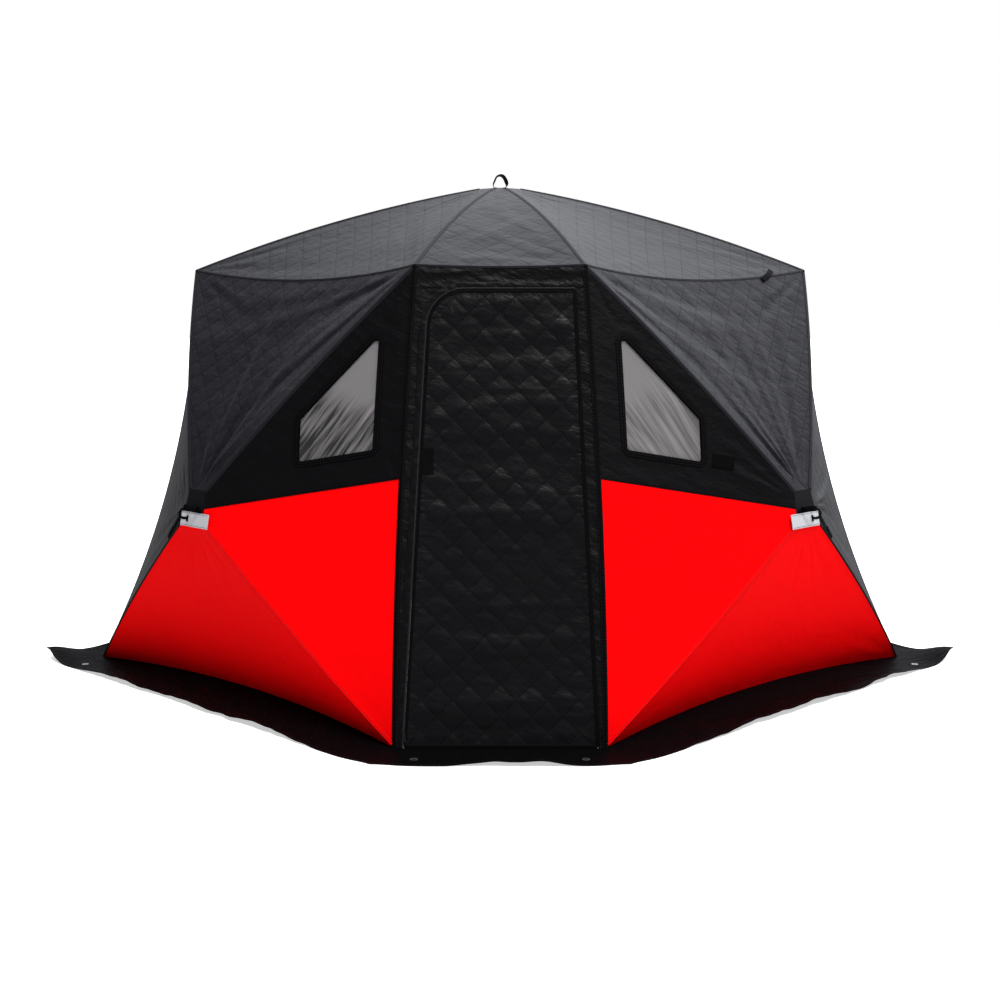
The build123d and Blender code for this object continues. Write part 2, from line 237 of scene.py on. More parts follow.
class Ripples:
    """Smooth noise from a seeded table, the same on every run."""

    side = 64
    octaves = ((1.0, 0, 0, 0.57), (2.1, 7, 3, 0.29), (4.3, 0, 0, 0.14))

    def __init__(self, seed: int) -> None:
        """Fills the table from the seed."""
        self.table = np.random.default_rng(seed).uniform(-1.0, 1.0, (self.side, self.side))

    def at(self, x: Array, y: Array) -> Array:
        """Noise from -1 to 1 at x and y."""
        column, row = np.floor(x).astype(int), np.floor(y).astype(int)
        fx, fy = x - column, y - row
        fx, fy = fx * fx * (3 - 2 * fx), fy * fy * (3 - 2 * fy)
        a, b, c, d = (
            self.table[(row + up) % self.side, (column + on) % self.side] for up in (0, 1) for on in (0, 1)
        )
        return (a * (1 - fx) + b * fx) * (1 - fy) + (c * (1 - fx) + d * fx) * fy

    def layered(self, x: Array, y: Array) -> Array:
        """Three octaves of the noise."""
        return sum(self.at(x * scale + on, y * scale + up) * share for scale, on, up, share in self.octaves)


# Meshes


def grid_quads(rows: int, columns: int, ring: bool = False) -> Array:
    """Quads over a grid of points.

    Args:
        rows: Number of rows of points.
        columns: Number of points in a row.
        ring: Whether each row closes on itself.

    Returns:
        Rows of four point numbers.
    """
    last = columns if ring else columns - 1
    row, column = np.meshgrid(np.arange(rows - 1), np.arange(last), indexing="ij")
    beside = (column + 1) % columns
    here, above = row * columns, (row + 1) * columns
    quads = [here + column, here + beside, above + beside, above + column]
    return np.stack(quads, axis=-1).reshape(-1, 4)


def signed_volume(points: Array, quads: Array) -> float:
    """Volume inside closed quads, below zero where they face inwards."""
    shifted = points - points.mean(axis=0)
    a, b, c, d = (shifted[quads[:, i]] for i in range(4))
    return float(np.sum(np.cross(b - a, c - a) * a) + np.sum(np.cross(c - a, d - a) * a)) / 6


def cross_area(points: Array, quads: Array) -> float:
    """Area of quads, from their diagonals."""
    a, b, c, d = (points[quads[:, i]] for i in range(4))
    return float(np.sum(np.linalg.norm(np.cross(c - a, d - b), axis=1))) / 2


def placed(name: str, data: bpy.types.ID) -> Object:
    """New object in the scene, at the origin."""
    obj = bpy.data.objects.new(name, data)
    bpy.context.scene.collection.objects.link(obj)
    return obj


@dataclass
class MeshDraft:
    """Points, quads and per-point values gathered for one piece."""

    points: list[Array] = field(default_factory=list)
    quads: list[Array] = field(default_factory=list)
    uv: list[Array] = field(default_factory=list)
    values: dict[str, list[Array]] = field(default_factory=dict)

    def add(self, points: Array, quads: Array, uv: Array, **values: Array) -> None:
        """Adds a closed shell, turned to face outwards.

        Args:
            points: Rows of three coordinates.
            quads: Rows of four point numbers.
            uv: Rows of two metric coordinates.
            **values: Further numbers per point, by attribute name.
        """
        if signed_volume(points, quads) < 0:
            quads = quads[:, ::-1]
        start = sum(len(p) for p in self.points)
        self.points.append(points)
        self.quads.append(quads + start)
        self.uv.append(uv)
        for name, value in values.items():
            self.values.setdefault(name, []).append(value)

    def add_shell(self, outer: Array, inner: Array, quads: Array, uv: Array, **values: Array) -> None:
        """Adds a face and its inner copy as one closed shell, with the face's numbers on both."""
        twice = {name: np.tile(value, 2) for name, value in values.items()}
        self.add(*shell(outer, inner, quads), np.tile(uv, (2, 1)), **twice)

    def build(self, name: str, sharp_degrees: float = 50.0) -> Object:
        """Makes the object, at the origin.

        Args:
            name: Name of the piece.
            sharp_degrees: Angle past which an edge stays sharp.

        Returns:
            The new object.
        """
        points = np.concatenate(self.points)
        quads = np.concatenate(self.quads)
        uv = np.concatenate(self.uv)
        mesh = bpy.data.meshes.new(name)
        mesh.vertices.add(len(points))
        mesh.vertices.foreach_set("co", points.astype(np.float32).ravel())
        mesh.loops.add(quads.size)
        mesh.loops.foreach_set("vertex_index", quads.astype(np.int32).ravel())
        mesh.polygons.add(len(quads))
        mesh.polygons.foreach_set("loop_start", np.arange(0, quads.size, 4, dtype=np.int32))
        mesh.update(calc_edges=True)
        layer = mesh.uv_layers.new(name="cloth")
        layer.data.foreach_set("uv", uv[quads.ravel()].astype(np.float32).ravel())
        for label, parts in self.values.items():
            attribute = mesh.attributes.new(label, "FLOAT", "POINT")
            attribute.data.foreach_set("value", np.concatenate(parts).astype(np.float32))
        mesh.polygons.foreach_set("use_smooth", np.ones(len(quads), dtype=bool))
        mesh.set_sharp_from_angle(angle=math.radians(sharp_degrees))
        mesh.validate()
        return placed(name, mesh)


def shell(outer: Array, inner: Array, quads: Array) -> tuple[Array, Array]:
    """Closed shell between an outer face and its inner copy.

    Args:
        outer: Points of the outer face.
        inner: The same points on the inside.
        quads: Quads of the outer face.

    Returns:
        The points of both faces and the quads round them.
    """
    count = len(outer)
    starts = quads.ravel()
    ends = np.roll(quads, -1, axis=1).ravel()
    there = starts * count + ends
    back = ends * count + starts
    open_edge = ~np.isin(there, back)
    a, b = starts[open_edge], ends[open_edge]
    rim = np.stack([b, a, a + count, b + count], axis=1)
    return np.concatenate([outer, inner]), np.concatenate([quads, quads[:, ::-1] + count, rim])


def weld(points: Array, quads: Array) -> tuple[Array, Array]:
    """Joins points that fall on each other: the first of each group, and the quads over those."""
    _, first, number = np.unique(np.round(points, 6), axis=0, return_index=True, return_inverse=True)
    return points[first], number.ravel()[quads]


def tube(section: Array) -> tuple[Array, Array]:
    """Closed tube through rows of section points, with strips of quads across its ends.

    Args:
        section: Grid of points, one row per place along the tube.

    Returns:
        Points and quads.
    """
    rows, columns = section.shape[:2]
    low = np.array([[i, i + 1, columns - 2 - i, columns - 1 - i] for i in range(columns // 2 - 1)])
    quads = [grid_quads(rows, columns, True), low[:, ::-1], low + (rows - 1) * columns]
    return section.reshape(-1, 3), np.concatenate(quads)


def steps_of(path: Array) -> Array:
    """Distances from each point of a path to the next."""
    return np.linalg.norm(np.diff(path, axis=0), axis=1)


def run_length(path: Array) -> Array:
    """How far along a path each of its points stands."""
    return np.concatenate([[0.0], np.cumsum(steps_of(path))])


def through(stops: Sequence[Sequence[float]], count: int) -> Array:
    """Smooth line of count points through a few places."""
    stops = np.asarray(stops, float)
    far = run_length(stops)
    slope = np.gradient(stops, far, axis=0)
    where = np.linspace(0, far[-1], count)
    i = np.clip(np.searchsorted(far, where) - 1, 0, len(stops) - 2)
    step = (far[i + 1] - far[i])[:, None]
    s = (where - far[i])[:, None] / step
    start = stops[i] * (1 + 2 * s) * (1 - s) ** 2 + slope[i] * step * s * (1 - s) ** 2
    return start + stops[i + 1] * s**2 * (3 - 2 * s) + slope[i + 1] * step * s**2 * (s - 1)


def band(path: Array, normals: Array, width: float, thickness: float, square: float = 0.5) -> MeshParts:
    """Strap or bar along a path.

    Args:
        path: Points along its middle.
        normals: The way its flat side faces, at each point or once for all.
        width: Width of the flat side.
        thickness: Its thickness.
        square: Shape of the section, from 1 for round down to a half for flat.

    Returns:
        Points, quads and metric coordinates.
    """
    sides = 10
    ahead = unit(np.gradient(path, axis=0))
    across = unit(np.cross(np.broadcast_to(normals, path.shape), ahead))
    out = np.cross(ahead, across)
    turn = (np.arange(sides) + 0.5) * 2 * math.pi / sides
    flat, thick = (
        np.sign(wave) * np.abs(wave) ** square * size / 2
        for wave, size in ((np.cos(turn), width), (np.sin(turn), thickness))
    )
    points, quads = tube(path[:, None] + across[:, None] * flat[:, None] + out[:, None] * thick[:, None])
    return points, quads, np.stack([np.repeat(run_length(path), sides), np.tile(flat, len(path))], axis=1)


def pad(grid: Array, normals: Array, low: float, high: float, rim: float = 0.4) -> MeshParts:
    """Flat piece of tape with a soft rim on a grid of points.

    Args:
        grid: Rows of points on what it lies on.
        normals: The way out, at each point or once for all.
        low: Height of its underside.
        high: Height of its upper side.
        rim: Share of the thickness that is left at its rim.

    Returns:
        Points, quads and metric coordinates.
    """
    lift = np.full(grid.shape[:2] + (1,), high)
    lift[[0, -1]] = lift[:, [0, -1]] = low + (high - low) * rim
    over, under = ((grid + normals * height).reshape(-1, 3) for height in (lift, low))
    points, quads = shell(over, under, grid_quads(*grid.shape[:2]))
    rows, columns = run_length(grid[:, 0]), run_length(grid[0])
    uv = np.stack([np.tile(columns, len(rows)), np.repeat(rows, len(columns))], axis=1)
    return points, quads, np.tile(uv, (2, 1))


# Sizes and plan


@dataclass(frozen=True)
class Sizes:
    """Driving sizes of the hut in metres, the same as its solids'."""

    base_half_diagonal: float = 1.744
    eave_half_diagonal: float = 1.292
    door_wall_base_half_width: float = 0.368
    door_wall_eave_half_width: float = 0.306
    eave_height: float = 1.682
    roof_rise: float = 0.354
    hub_height: float = 0.774
    hub_bulge: float = 0.320
    fabric_thickness: float = 0.006
    vinyl_thickness: float = 0.0012
    wall_pole_bow: float = 0.024
    roof_bow_share: float = 0.108
    eave_sag: float = 0.048
    eave_pull: float = 0.030
    header_sag: float = 0.008
    corner_pull: float = 0.105
    door_seam_bow: float = 0.016
    hem_lift: float = 0.038
    hem_pull: float = 0.055
    red_seam_height: float = 0.930
    skirt_thickness: float = 0.004
    skirt_knee: float = 0.060
    skirt_width: float = 0.200
    window_seam_margin: float = 0.120
    window_red_margin: float = 0.112
    window_pole_margin: float = 0.092
    window_reach: float = 0.430
    window_corner_radius: float = 0.014
    window_lap: float = 0.024
    left_jamb_base: float = 0.028
    left_jamb_top: float = 0.052
    right_jamb_base: float = 0.024
    right_jamb_top: float = 0.040
    header_depth: float = 0.088
    door_corner_radius: float = 0.140
    door_clearance: float = 0.005
    hinge_clearance: float = 0.0003
    flap_width: float = 0.025
    hub_patch_drop: float = 0.017
    roof_patch_drop: float = 0.014
    strap_width: float = 0.025
    strap_thickness: float = 0.003
    tab_length: float = 0.178
    tab_height: float = 0.056
    tab_drop: float = 0.042
    tab_shift: float = 0.015


SIDES = {
    "front": ("front_right", "front_left"),
    "left_front": ("front_left", "left"),
    "left_back": ("left", "back"),
    "right_back": ("back", "right"),
    "right_front": ("right", "front_right"),
}
HUB_WALLS = {
    "left_front": ("front_left", "left"),
    "left_back": ("back", "left"),
    "right_back": ("back", "right"),
    "right_front": ("front_right", "right"),
}


class Plan:
    """Corners, edges and seams of the hut, worked out from its sizes."""

    def __init__(self, sizes: Sizes) -> None:
        """Places the corners so that the box round the skirt is centred."""
        s = self.sizes = sizes
        front = -(s.base_half_diagonal - s.door_wall_base_half_width) - s.skirt_width
        back = s.base_half_diagonal + s.skirt_width * math.sqrt(2)
        self.axis_y = -(front + back) / 2
        self.centre = np.array([0.0, self.axis_y, s.skirt_thickness])
        self.base = self.ring(s.base_half_diagonal, s.door_wall_base_half_width, s.skirt_thickness)
        self.eave = self.ring(s.eave_half_diagonal, s.door_wall_eave_half_width, s.eave_height)
        self.apex = np.array([0.0, self.axis_y, s.eave_height + s.roof_rise])
        self.door_origin = (self.base["front_left"] + self.base["front_right"]) / 2
        self.door_normal = self.outward("front_right", "front_left")
        self.door_x = np.array([1.0, 0.0, 0.0])
        self.door_y = np.cross(self.door_normal, self.door_x)
        self.door_rise = float((self.eave["front_left"] - self.door_origin) @ self.door_y)
        distance = float((self.door_origin - self.centre) @ self.door_normal)
        self.inner_scale = 1 - s.fabric_thickness / distance

    def ring(self, half_diagonal: float, door_half_width: float, z: float) -> dict[str, Array]:
        """Corners of the plan at one level, by name."""
        front = self.axis_y - half_diagonal + door_half_width
        return {
            "front_left": np.array([-door_half_width, front, z]),
            "left": np.array([-half_diagonal, self.axis_y, z]),
            "back": np.array([0.0, self.axis_y + half_diagonal, z]),
            "right": np.array([half_diagonal, self.axis_y, z]),
            "front_right": np.array([door_half_width, front, z]),
        }

    def outward(self, a: str, b: str) -> Array:
        """Unit normal of the wall between two corners, pointing out."""
        normal = unit(np.cross(self.base[b] - self.base[a], self.eave[a] - self.base[a]))
        away = (self.base[a] + self.base[b]) / 2 - self.centre
        return normal if normal @ away > 0 else -normal

    def flat_outward(self, a: str, b: str) -> Array:
        """The wall's outward direction, laid level."""
        return unit(self.outward(a, b) * LEVEL)

    def corner_seam(self, corner: str) -> Array:
        """Seam from the ground up to the eave at a corner."""
        if corner.startswith("front"):
            sideways = self.door_x * np.sign(self.base[corner][0])
            return bowed(self.base[corner], self.eave[corner], sideways * self.sizes.door_seam_bow)
        inward = -unit((self.eave[corner] - self.centre) * LEVEL)
        return bowed(self.base[corner], self.eave[corner], inward * self.sizes.corner_pull)

    def eave_edge(self, a: str, b: str) -> Array:
        """Edge where a wall meets the roof."""
        if a.startswith("front") and b.startswith("front"):
            return bowed(self.eave[a], self.eave[b], -self.door_y * self.sizes.header_sag)
        offset = -self.flat_outward(a, b) * self.sizes.eave_pull - UP * self.sizes.eave_sag
        return bowed(self.eave[a], self.eave[b], offset)

    def hem_edge(self, a: str, b: str) -> Array:
        """Lower edge of a wall, where the skirt is sewn on."""
        if a.startswith("front") and b.startswith("front"):
            return bowed(self.base[a], self.base[b])
        offset = -self.flat_outward(a, b) * self.sizes.hem_pull + UP * self.sizes.hem_lift
        return bowed(self.base[a], self.base[b], offset)

    def roof_ridge(self, corner: str) -> Array:
        """Line over a roof pole, up to the patch at the apex."""
        bow = self.sizes.roof_rise * self.sizes.roof_bow_share
        ridge = bowed(self.eave[corner], self.apex, UP * bow)
        level = self.apex[2] - self.sizes.roof_patch_drop
        return stretch(ridge, 0.0, share_at_level(ridge, UP, level))

    def surface(self, *edges: Array) -> Patch:
        """Fabric patch over lower, upper, left and right edges."""
        return Patch(patch(*edges), self.centre)

    def door_point(self, x: Array, y: Array, out: Array | float = 0.0) -> Array:
        """Points of the door wall's plane, and off it."""
        x, y, out = np.broadcast_arrays(np.asarray(x, float), np.asarray(y, float), np.asarray(out, float))
        flat = self.door_origin + x[..., None] * self.door_x + y[..., None] * self.door_y
        return flat + out[..., None] * self.door_normal


# Finishes


class Painter:
    """Builds one procedural material, or the world, node by node."""

    def __init__(self, name: str, world: bpy.types.World | None = None) -> None:
        """Starts an empty material, or empties the world."""
        self.owner = world or bpy.data.materials.new(name)
        self.owner.use_nodes = True
        self.tree = self.owner.node_tree
        self.tree.nodes.clear()
        self.output = self.tree.nodes.new("ShaderNodeOutputWorld" if world else "ShaderNodeOutputMaterial")

    def node(
        self, kind: str, inputs: dict[str | int, object] | None = None, **settings: object
    ) -> bpy.types.Node:
        """Adds a node.

        Args:
            kind: The node's type.
            inputs: Values or output sockets for its inputs.
            **settings: Properties set on the node.

        Returns:
            The node.
        """
        node = self.tree.nodes.new(kind)
        for name, value in settings.items():
            setattr(node, name, value)
        for key, value in (inputs or {}).items():
            if isinstance(value, Socket):
                self.tree.links.new(value, node.inputs[key])
            else:
                node.inputs[key].default_value = value
        return node

    def sum(self, operation: str, a: object, b: object = 0.0, c: object = 0.0) -> Socket:
        """One step of arithmetic on sockets and numbers."""
        node = self.node("ShaderNodeMath", {0: a, 1: b, 2: c}, operation=operation)
        return node.outputs[0]

    def value(self, name: str) -> Socket:
        """A per-point number of the mesh."""
        return self.node("ShaderNodeAttribute", attribute_name=name).outputs["Fac"]

    def cloth(self) -> Socket:
        """The piece's own metric coordinates."""
        return self.node("ShaderNodeUVMap", uv_map="cloth").outputs["UV"]

    def noise(self, where: object, scale: float, detail: float = 3.0, roughness: float = 0.55) -> Socket:
        """Noise from 0 to 1."""
        inputs = {"Vector": where, "Scale": scale, "Detail": detail, "Roughness": roughness}
        return self.node("ShaderNodeTexNoise", inputs).outputs["Fac"]

    def mapped(self, where: object, scale: Sequence[float], turn: float = 0.0) -> Socket:
        """Coordinates turned about Z and then scaled."""
        turned = self.node("ShaderNodeMapping", {"Vector": where, "Rotation": (0.0, 0.0, turn)})
        scaled = self.node("ShaderNodeMapping", {"Vector": turned.outputs[0], "Scale": tuple(scale)})
        return scaled.outputs[0]

    def bump(self, height: Socket) -> Socket:
        """Normal from a height in metres."""
        return self.node("ShaderNodeBump", {"Height": height, "Distance": 1.0, "Strength": 1.0}).outputs[0]

    def seen(self) -> Socket:
        """1 on rays that reach the eye straight or through a window, and 0 on rays that only light things."""
        rays = self.node("ShaderNodeLightPath").outputs
        return self.sum("MAXIMUM", rays["Is Camera Ray"], rays["Is Transmission Ray"])

    def finish(self, shader: Socket) -> Material | bpy.types.World:
        """Joins the shader to the output and returns what was painted."""
        self.tree.links.new(shader, self.output.inputs["Surface"])
        return self.owner

    def principled(self, inputs: dict[str | int, object]) -> Material:
        """Ends the material with one common surface shader."""
        return self.finish(self.node("ShaderNodeBsdfPrincipled", inputs).outputs[0])


@dataclass(frozen=True)
class Finish:
    """Colour of a piece and the slot that it belongs to."""

    name: str
    slot: str
    colour: Triple

    def material(self) -> Material:
        """Makes the finish, or finds it if it is already there."""
        return bpy.data.materials.get(self.name) or self.paint()

    def paint(self) -> Material:
        """Paints the finish, each kind in its own way."""
        raise NotImplementedError

    def shade(self, share: float) -> tuple[float, ...]:
        """The colour times a share, with full cover."""
        return (*(part * share for part in self.colour), 1.0)


@dataclass(frozen=True)
class FabricFinish(Finish):
    """Coated woven fabric with quilting, creases and puckers beside its seams, and painted shade in its
    quilted valleys.
    """

    roughness: float = 0.5
    specular: float = 0.35
    sheen: float = 0.0
    sheen_roughness: float = 0.4
    quilt_height: float = 0.0006
    quilt_pitch: float = 0.075
    quilt_power: float = 0.45
    # Share by which colour and specular are darkened in the quilted valleys: painted shade.
    quilt_valley_shade: float = 0.0
    valley_shade_reach: tuple[float, float] = (0.15, 0.42)
    crease_height: float = 0.0012
    crease_scale: Triple = (9.0, 21.0, 1.0)
    crease_turn: float = 0.5
    crease_depth: float = 4.0
    fine_scale: Triple = (30.0, 55.0, 1.0)
    fine_turn: float = -0.3
    pucker_height: float = 0.0012
    pucker_reach: float = 0.022
    pucker_scale: Triple = (48.0, 11.0, 1.0)
    weave_height: float = 0.00005
    weave_scale: Triple = (900.0, 900.0, 1.0)
    tone_spread: float = 0.12
    tone_scale: Triple = (3.0, 3.0, 1.0)
    grid: float = 0.023

    def quilting(self, p: Painter, cloth: Socket) -> Socket:
        """Diamonds from 0 on the sewn lines to 1 between them."""
        place = p.node("ShaderNodeSeparateXYZ", {0: cloth}).outputs
        turn = math.pi / (self.quilt_pitch * math.sqrt(2))
        waves = [
            p.sum("ABSOLUTE", p.sum("SINE", p.sum("MULTIPLY", p.sum(way, place[0], place[1]), turn)))
            for way in ("ADD", "SUBTRACT")
        ]
        return p.sum("POWER", p.sum("MINIMUM", *waves), self.quilt_power)

    def paint(self) -> Material:
        """Paints the finish on the piece's cloth coordinates."""
        p = Painter(self.name)
        cloth, edge = p.cloth(), p.value("edge")
        quilt = self.quilting(p, cloth)
        near_seam = p.sum("POWER", math.e, p.sum("DIVIDE", edge, -self.pucker_reach))
        beside = p.node("ShaderNodeCombineXYZ", {0: p.value("along"), 1: edge}).outputs[0]
        pucker = p.noise(p.mapped(beside, self.pucker_scale), 1.0)
        crease = p.noise(p.mapped(cloth, self.crease_scale, self.crease_turn), 1.0, 4.0, 0.6)
        fine = p.noise(p.mapped(cloth, self.fine_scale, self.fine_turn), 1.0, 3.0, 0.6)
        weave = p.noise(p.mapped(cloth, self.weave_scale), 1.0, 1.0)
        height = p.sum("MULTIPLY", quilt, self.quilt_height)
        for layer, share in (
            (crease, self.crease_height * self.crease_depth), (fine, self.crease_height),
            (p.sum("MULTIPLY", pucker, near_seam), self.pucker_height), (weave, self.weave_height),
        ):
            height = p.sum("MULTIPLY_ADD", layer, share, height)
        tone = p.noise(p.mapped(cloth, self.tone_scale), 1.0)
        tones = {0: tone, 6: self.shade(1 - self.tone_spread), 7: self.shade(1 + self.tone_spread)}
        colour = p.node("ShaderNodeMix", tones, data_type="RGBA").outputs[2]
        # Painted shade: the base colour and the specular are darkened in the valleys along the quilted lines.
        line = {0: quilt, 1: self.valley_shade_reach[0], 2: self.valley_shade_reach[1], 3: 1 - self.quilt_valley_shade, 4: 1.0}
        sewn = p.node("ShaderNodeMapRange", line).outputs[0]
        return p.principled({
            "Base Color": p.node("ShaderNodeVectorMath", {0: colour, 3: sewn}, operation="SCALE").outputs[0],
            "Roughness": self.roughness,
            "Specular IOR Level": p.sum("MULTIPLY", sewn, self.specular),
            "Sheen Weight": self.sheen,
            "Sheen Roughness": self.sheen_roughness,
            "Normal": p.bump(height),
        })


@dataclass(frozen=True)
class PlainFinish(Finish):
    """Plain moulded, woven or metal surface with a fine grain."""

    roughness: float = 0.5
    metallic: float = 0.0
    specular: float = 0.5
    grain_scale: float = 400.0
    grain_height: float = 0.00005

    def paint(self) -> Material:
        """Paints the finish on the piece's own coordinates."""
        p = Painter(self.name)
        grain = p.noise(p.node("ShaderNodeTexCoord").outputs["Object"], self.grain_scale, 2.0)
        return p.principled({
            "Base Color": self.shade(1.0),
            "Roughness": self.roughness,
            "Metallic": self.metallic,
            "Specular IOR Level": self.specular,
            "Normal": p.bump(p.sum("MULTIPLY", grain, self.grain_height)),
        })


@dataclass(frozen=True)
class VinylFinish(Finish):
    """Soft clear vinyl, milky and creased, with painted highlights and shade along its creases."""

    cover: float = 0.9
    roughness: float = 0.2
    specular: float = 0.3
    streak_scale: Triple = (95.0, 4.0, 1.0)
    streak_weight: float = 4.5
    streak_reach: tuple[float, float] = (1.7, 3.5)
    streak_height: float = 0.0015
    plain_tone: float = 0.72
    # Tones of the painted shade and the painted highlights on the creases, as shares of the colour.
    crease_shade_tone: float = 0.15
    crease_highlight_tone: float = 1.35

    def paint(self) -> Material:
        """Paints fine streaks where the vinyl is crushed: painted highlights on its creases and painted shade
        between them.
        """
        p = Painter(self.name)
        fine = p.noise(p.mapped(p.cloth(), self.streak_scale), 1.0, 2.0, 0.6)
        crease_light_pattern = p.sum("MULTIPLY_ADD", fine, self.streak_weight, p.value("crease"))
        reach = {0: crease_light_pattern, 1: self.streak_reach[0], 2: self.streak_reach[1]}
        crease_light_and_shade = p.node("ShaderNodeMapRange", reach).outputs[0]
        crushed = p.value("crushed")
        plain = p.sum("MULTIPLY", p.sum("SUBTRACT", 1.0, crushed), self.plain_tone)
        clear = p.sum("MULTIPLY_ADD", crease_light_and_shade, crushed, plain)
        # Painted light: the colour runs from a shaded dark tone to a highlight tone along the creases.
        tones = {0: clear, 6: self.shade(self.crease_shade_tone), 7: self.shade(self.crease_highlight_tone)}
        return p.principled({
            "Base Color": p.node("ShaderNodeMix", tones, data_type="RGBA").outputs[2],
            "Roughness": self.roughness,
            "IOR": 1.5,
            "Alpha": self.cover,
            "Specular IOR Level": self.specular,
            "Normal": p.bump(p.sum("MULTIPLY", fine, self.streak_height)),
        })


# The charcoal and the quilted door fabric carry painted shade in their quilted valleys.
CHARCOAL = FabricFinish(
    "charcoal fabric", "charcoal_fabric", (0.0066, 0.0063, 0.0094), 0.42, 0.218, 0.03,
    quilt_height=0.0014, quilt_valley_shade=0.5, grid=0.019,
)
BLACK = FabricFinish(
    "black fabric", "black_fabric", (0.0032, 0.0028, 0.0034), 0.46, 0.12, quilt_height=0.0003,
    crease_height=0.0020,
)
QUILTED = FabricFinish(
    "quilted door fabric", "black_fabric", (0.0040, 0.0034, 0.0042), 0.38, 0.20, quilt_height=0.0009,
    quilt_pitch=0.078, quilt_valley_shade=0.5, crease_height=0.0008, pucker_height=0.0055, pucker_reach=0.040,
)
RED = FabricFinish(
    "red fabric", "red_fabric", (0.90, 0.0012, 0.0022), 0.55, 0.01, quilt_height=0.0002, crease_height=0.0008,
    tone_spread=0.02,
)
SKIRT = FabricFinish(
    "skirt cloth", "skirt_cloth", (0.0018, 0.0016, 0.0019), 0.48, 0.014, quilt_height=0.0,
    crease_height=0.0040,
)
HUB_PATCH = PlainFinish("hub patch", "black_webbing", (0.0055, 0.0054, 0.0066), specular=0.14)
WEBBING = PlainFinish("black webbing", "black_webbing", (0.0022, 0.0020, 0.0024), 0.6, specular=0.04)
CHARCOAL_TAPE = PlainFinish("charcoal binding", "charcoal_fabric", (0.011, 0.011, 0.014), specular=0.18)
RED_TAPE = PlainFinish("red binding", "red_fabric", (0.86, 0.0012, 0.0022), 0.55, specular=0.02)
THREAD = PlainFinish("black thread", "black_webbing", (0.010, 0.010, 0.012), 0.45, specular=0.2)
PIPING = PlainFinish("grey piping", "black_webbing", (0.024, 0.024, 0.027), 0.45, specular=0.2)
ZIP_TEETH = PlainFinish("zip teeth", "hub_plastic", (0.012, 0.012, 0.013), 0.35, specular=0.3)
HUB_PLASTIC = PlainFinish("hub plastic", "hub_plastic", (0.010, 0.010, 0.011), 0.4, specular=0.3)
POLE = PlainFinish("fibreglass pole", "fibreglass_pole", (0.02, 0.02, 0.022), 0.35, specular=0.4)
TAPE_WHITE = PlainFinish("reflective tape", "reflective_white", (0.50, 0.51, 0.53), 0.4, specular=0.3)
STEEL = PlainFinish("eyelet steel", "eyelet_metal", (0.45, 0.45, 0.46), 0.32, metallic=1.0)
VINYL = VinylFinish("clear vinyl", "clear_vinyl", (0.200, 0.190, 0.193))


def dress(obj: Object, finish: Finish, body: str | None = "shelter", nodes: Sequence[str] = ()) -> Object:
    """Paints a piece, hides the solids that it stands for and attaches it to what it moves with.

    Args:
        obj: The piece.
        finish: Its finish.
        body: The body that it rides on, or none, which leaves it on no body.
        nodes: Solids that it replaces.

    Returns:
        The piece.
    """
    paint(obj, finish)
    if nodes:
        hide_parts(*nodes)
    if body:
        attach(obj, body)
    log.info("%s: %d faces on %s", obj.name, len(obj.data.polygons), body or "two bodies")
    return obj


def paint(obj: Object, finish: Finish) -> None:
    """Gives an object its only material."""
    obj.data.materials.clear()
    obj.data.materials.append(finish.material())


# Stitches


def stitch_tree() -> bpy.types.NodeTree:
    """Geometry nodes that lay a short bar of thread on every point of a row."""
    tree = bpy.data.node_groups.new("thread bars", "GeometryNodeTree")
    sockets = {
        "Geometry": "Geometry", "Length": "Float", "Width": "Float", "Height": "Float", "Thread": "Material",
    }
    for label, kind in sockets.items():
        tree.interface.new_socket(label, in_out="INPUT", socket_type="NodeSocket" + kind)
    tree.interface.new_socket("Geometry", in_out="OUTPUT", socket_type="NodeSocketGeometry")
    given, size, bar, turn, lay, real, colour, result, way, out = map(tree.nodes.new, (
        "NodeGroupInput", "ShaderNodeCombineXYZ", "GeometryNodeMeshCube", "FunctionNodeAxesToRotation",
        "GeometryNodeInstanceOnPoints", "GeometryNodeRealizeInstances", "GeometryNodeSetMaterial",
        "NodeGroupOutput", "GeometryNodeInputNamedAttribute", "GeometryNodeInputNamedAttribute",
    ))
    for node, name in ((way, "way"), (out, "out")):
        node.data_type = "FLOAT_VECTOR"
        node.inputs["Name"].default_value = name
    turn.primary_axis, turn.secondary_axis = "X", "Z"
    for start, output, end, entry in (
        (given, "Length", size, 0), (given, "Width", size, 1), (given, "Height", size, 2),
        (size, 0, bar, "Size"), (way, "Attribute", turn, 0), (out, "Attribute", turn, 1),
        (given, "Geometry", lay, "Points"), (bar, "Mesh", lay, "Instance"), (turn, 0, lay, "Rotation"),
        (lay, 0, real, 0), (real, 0, colour, "Geometry"), (given, "Thread", colour, "Material"),
        (colour, 0, result, 0),
    ):
        tree.links.new(start.outputs[output], end.inputs[entry])
    return tree


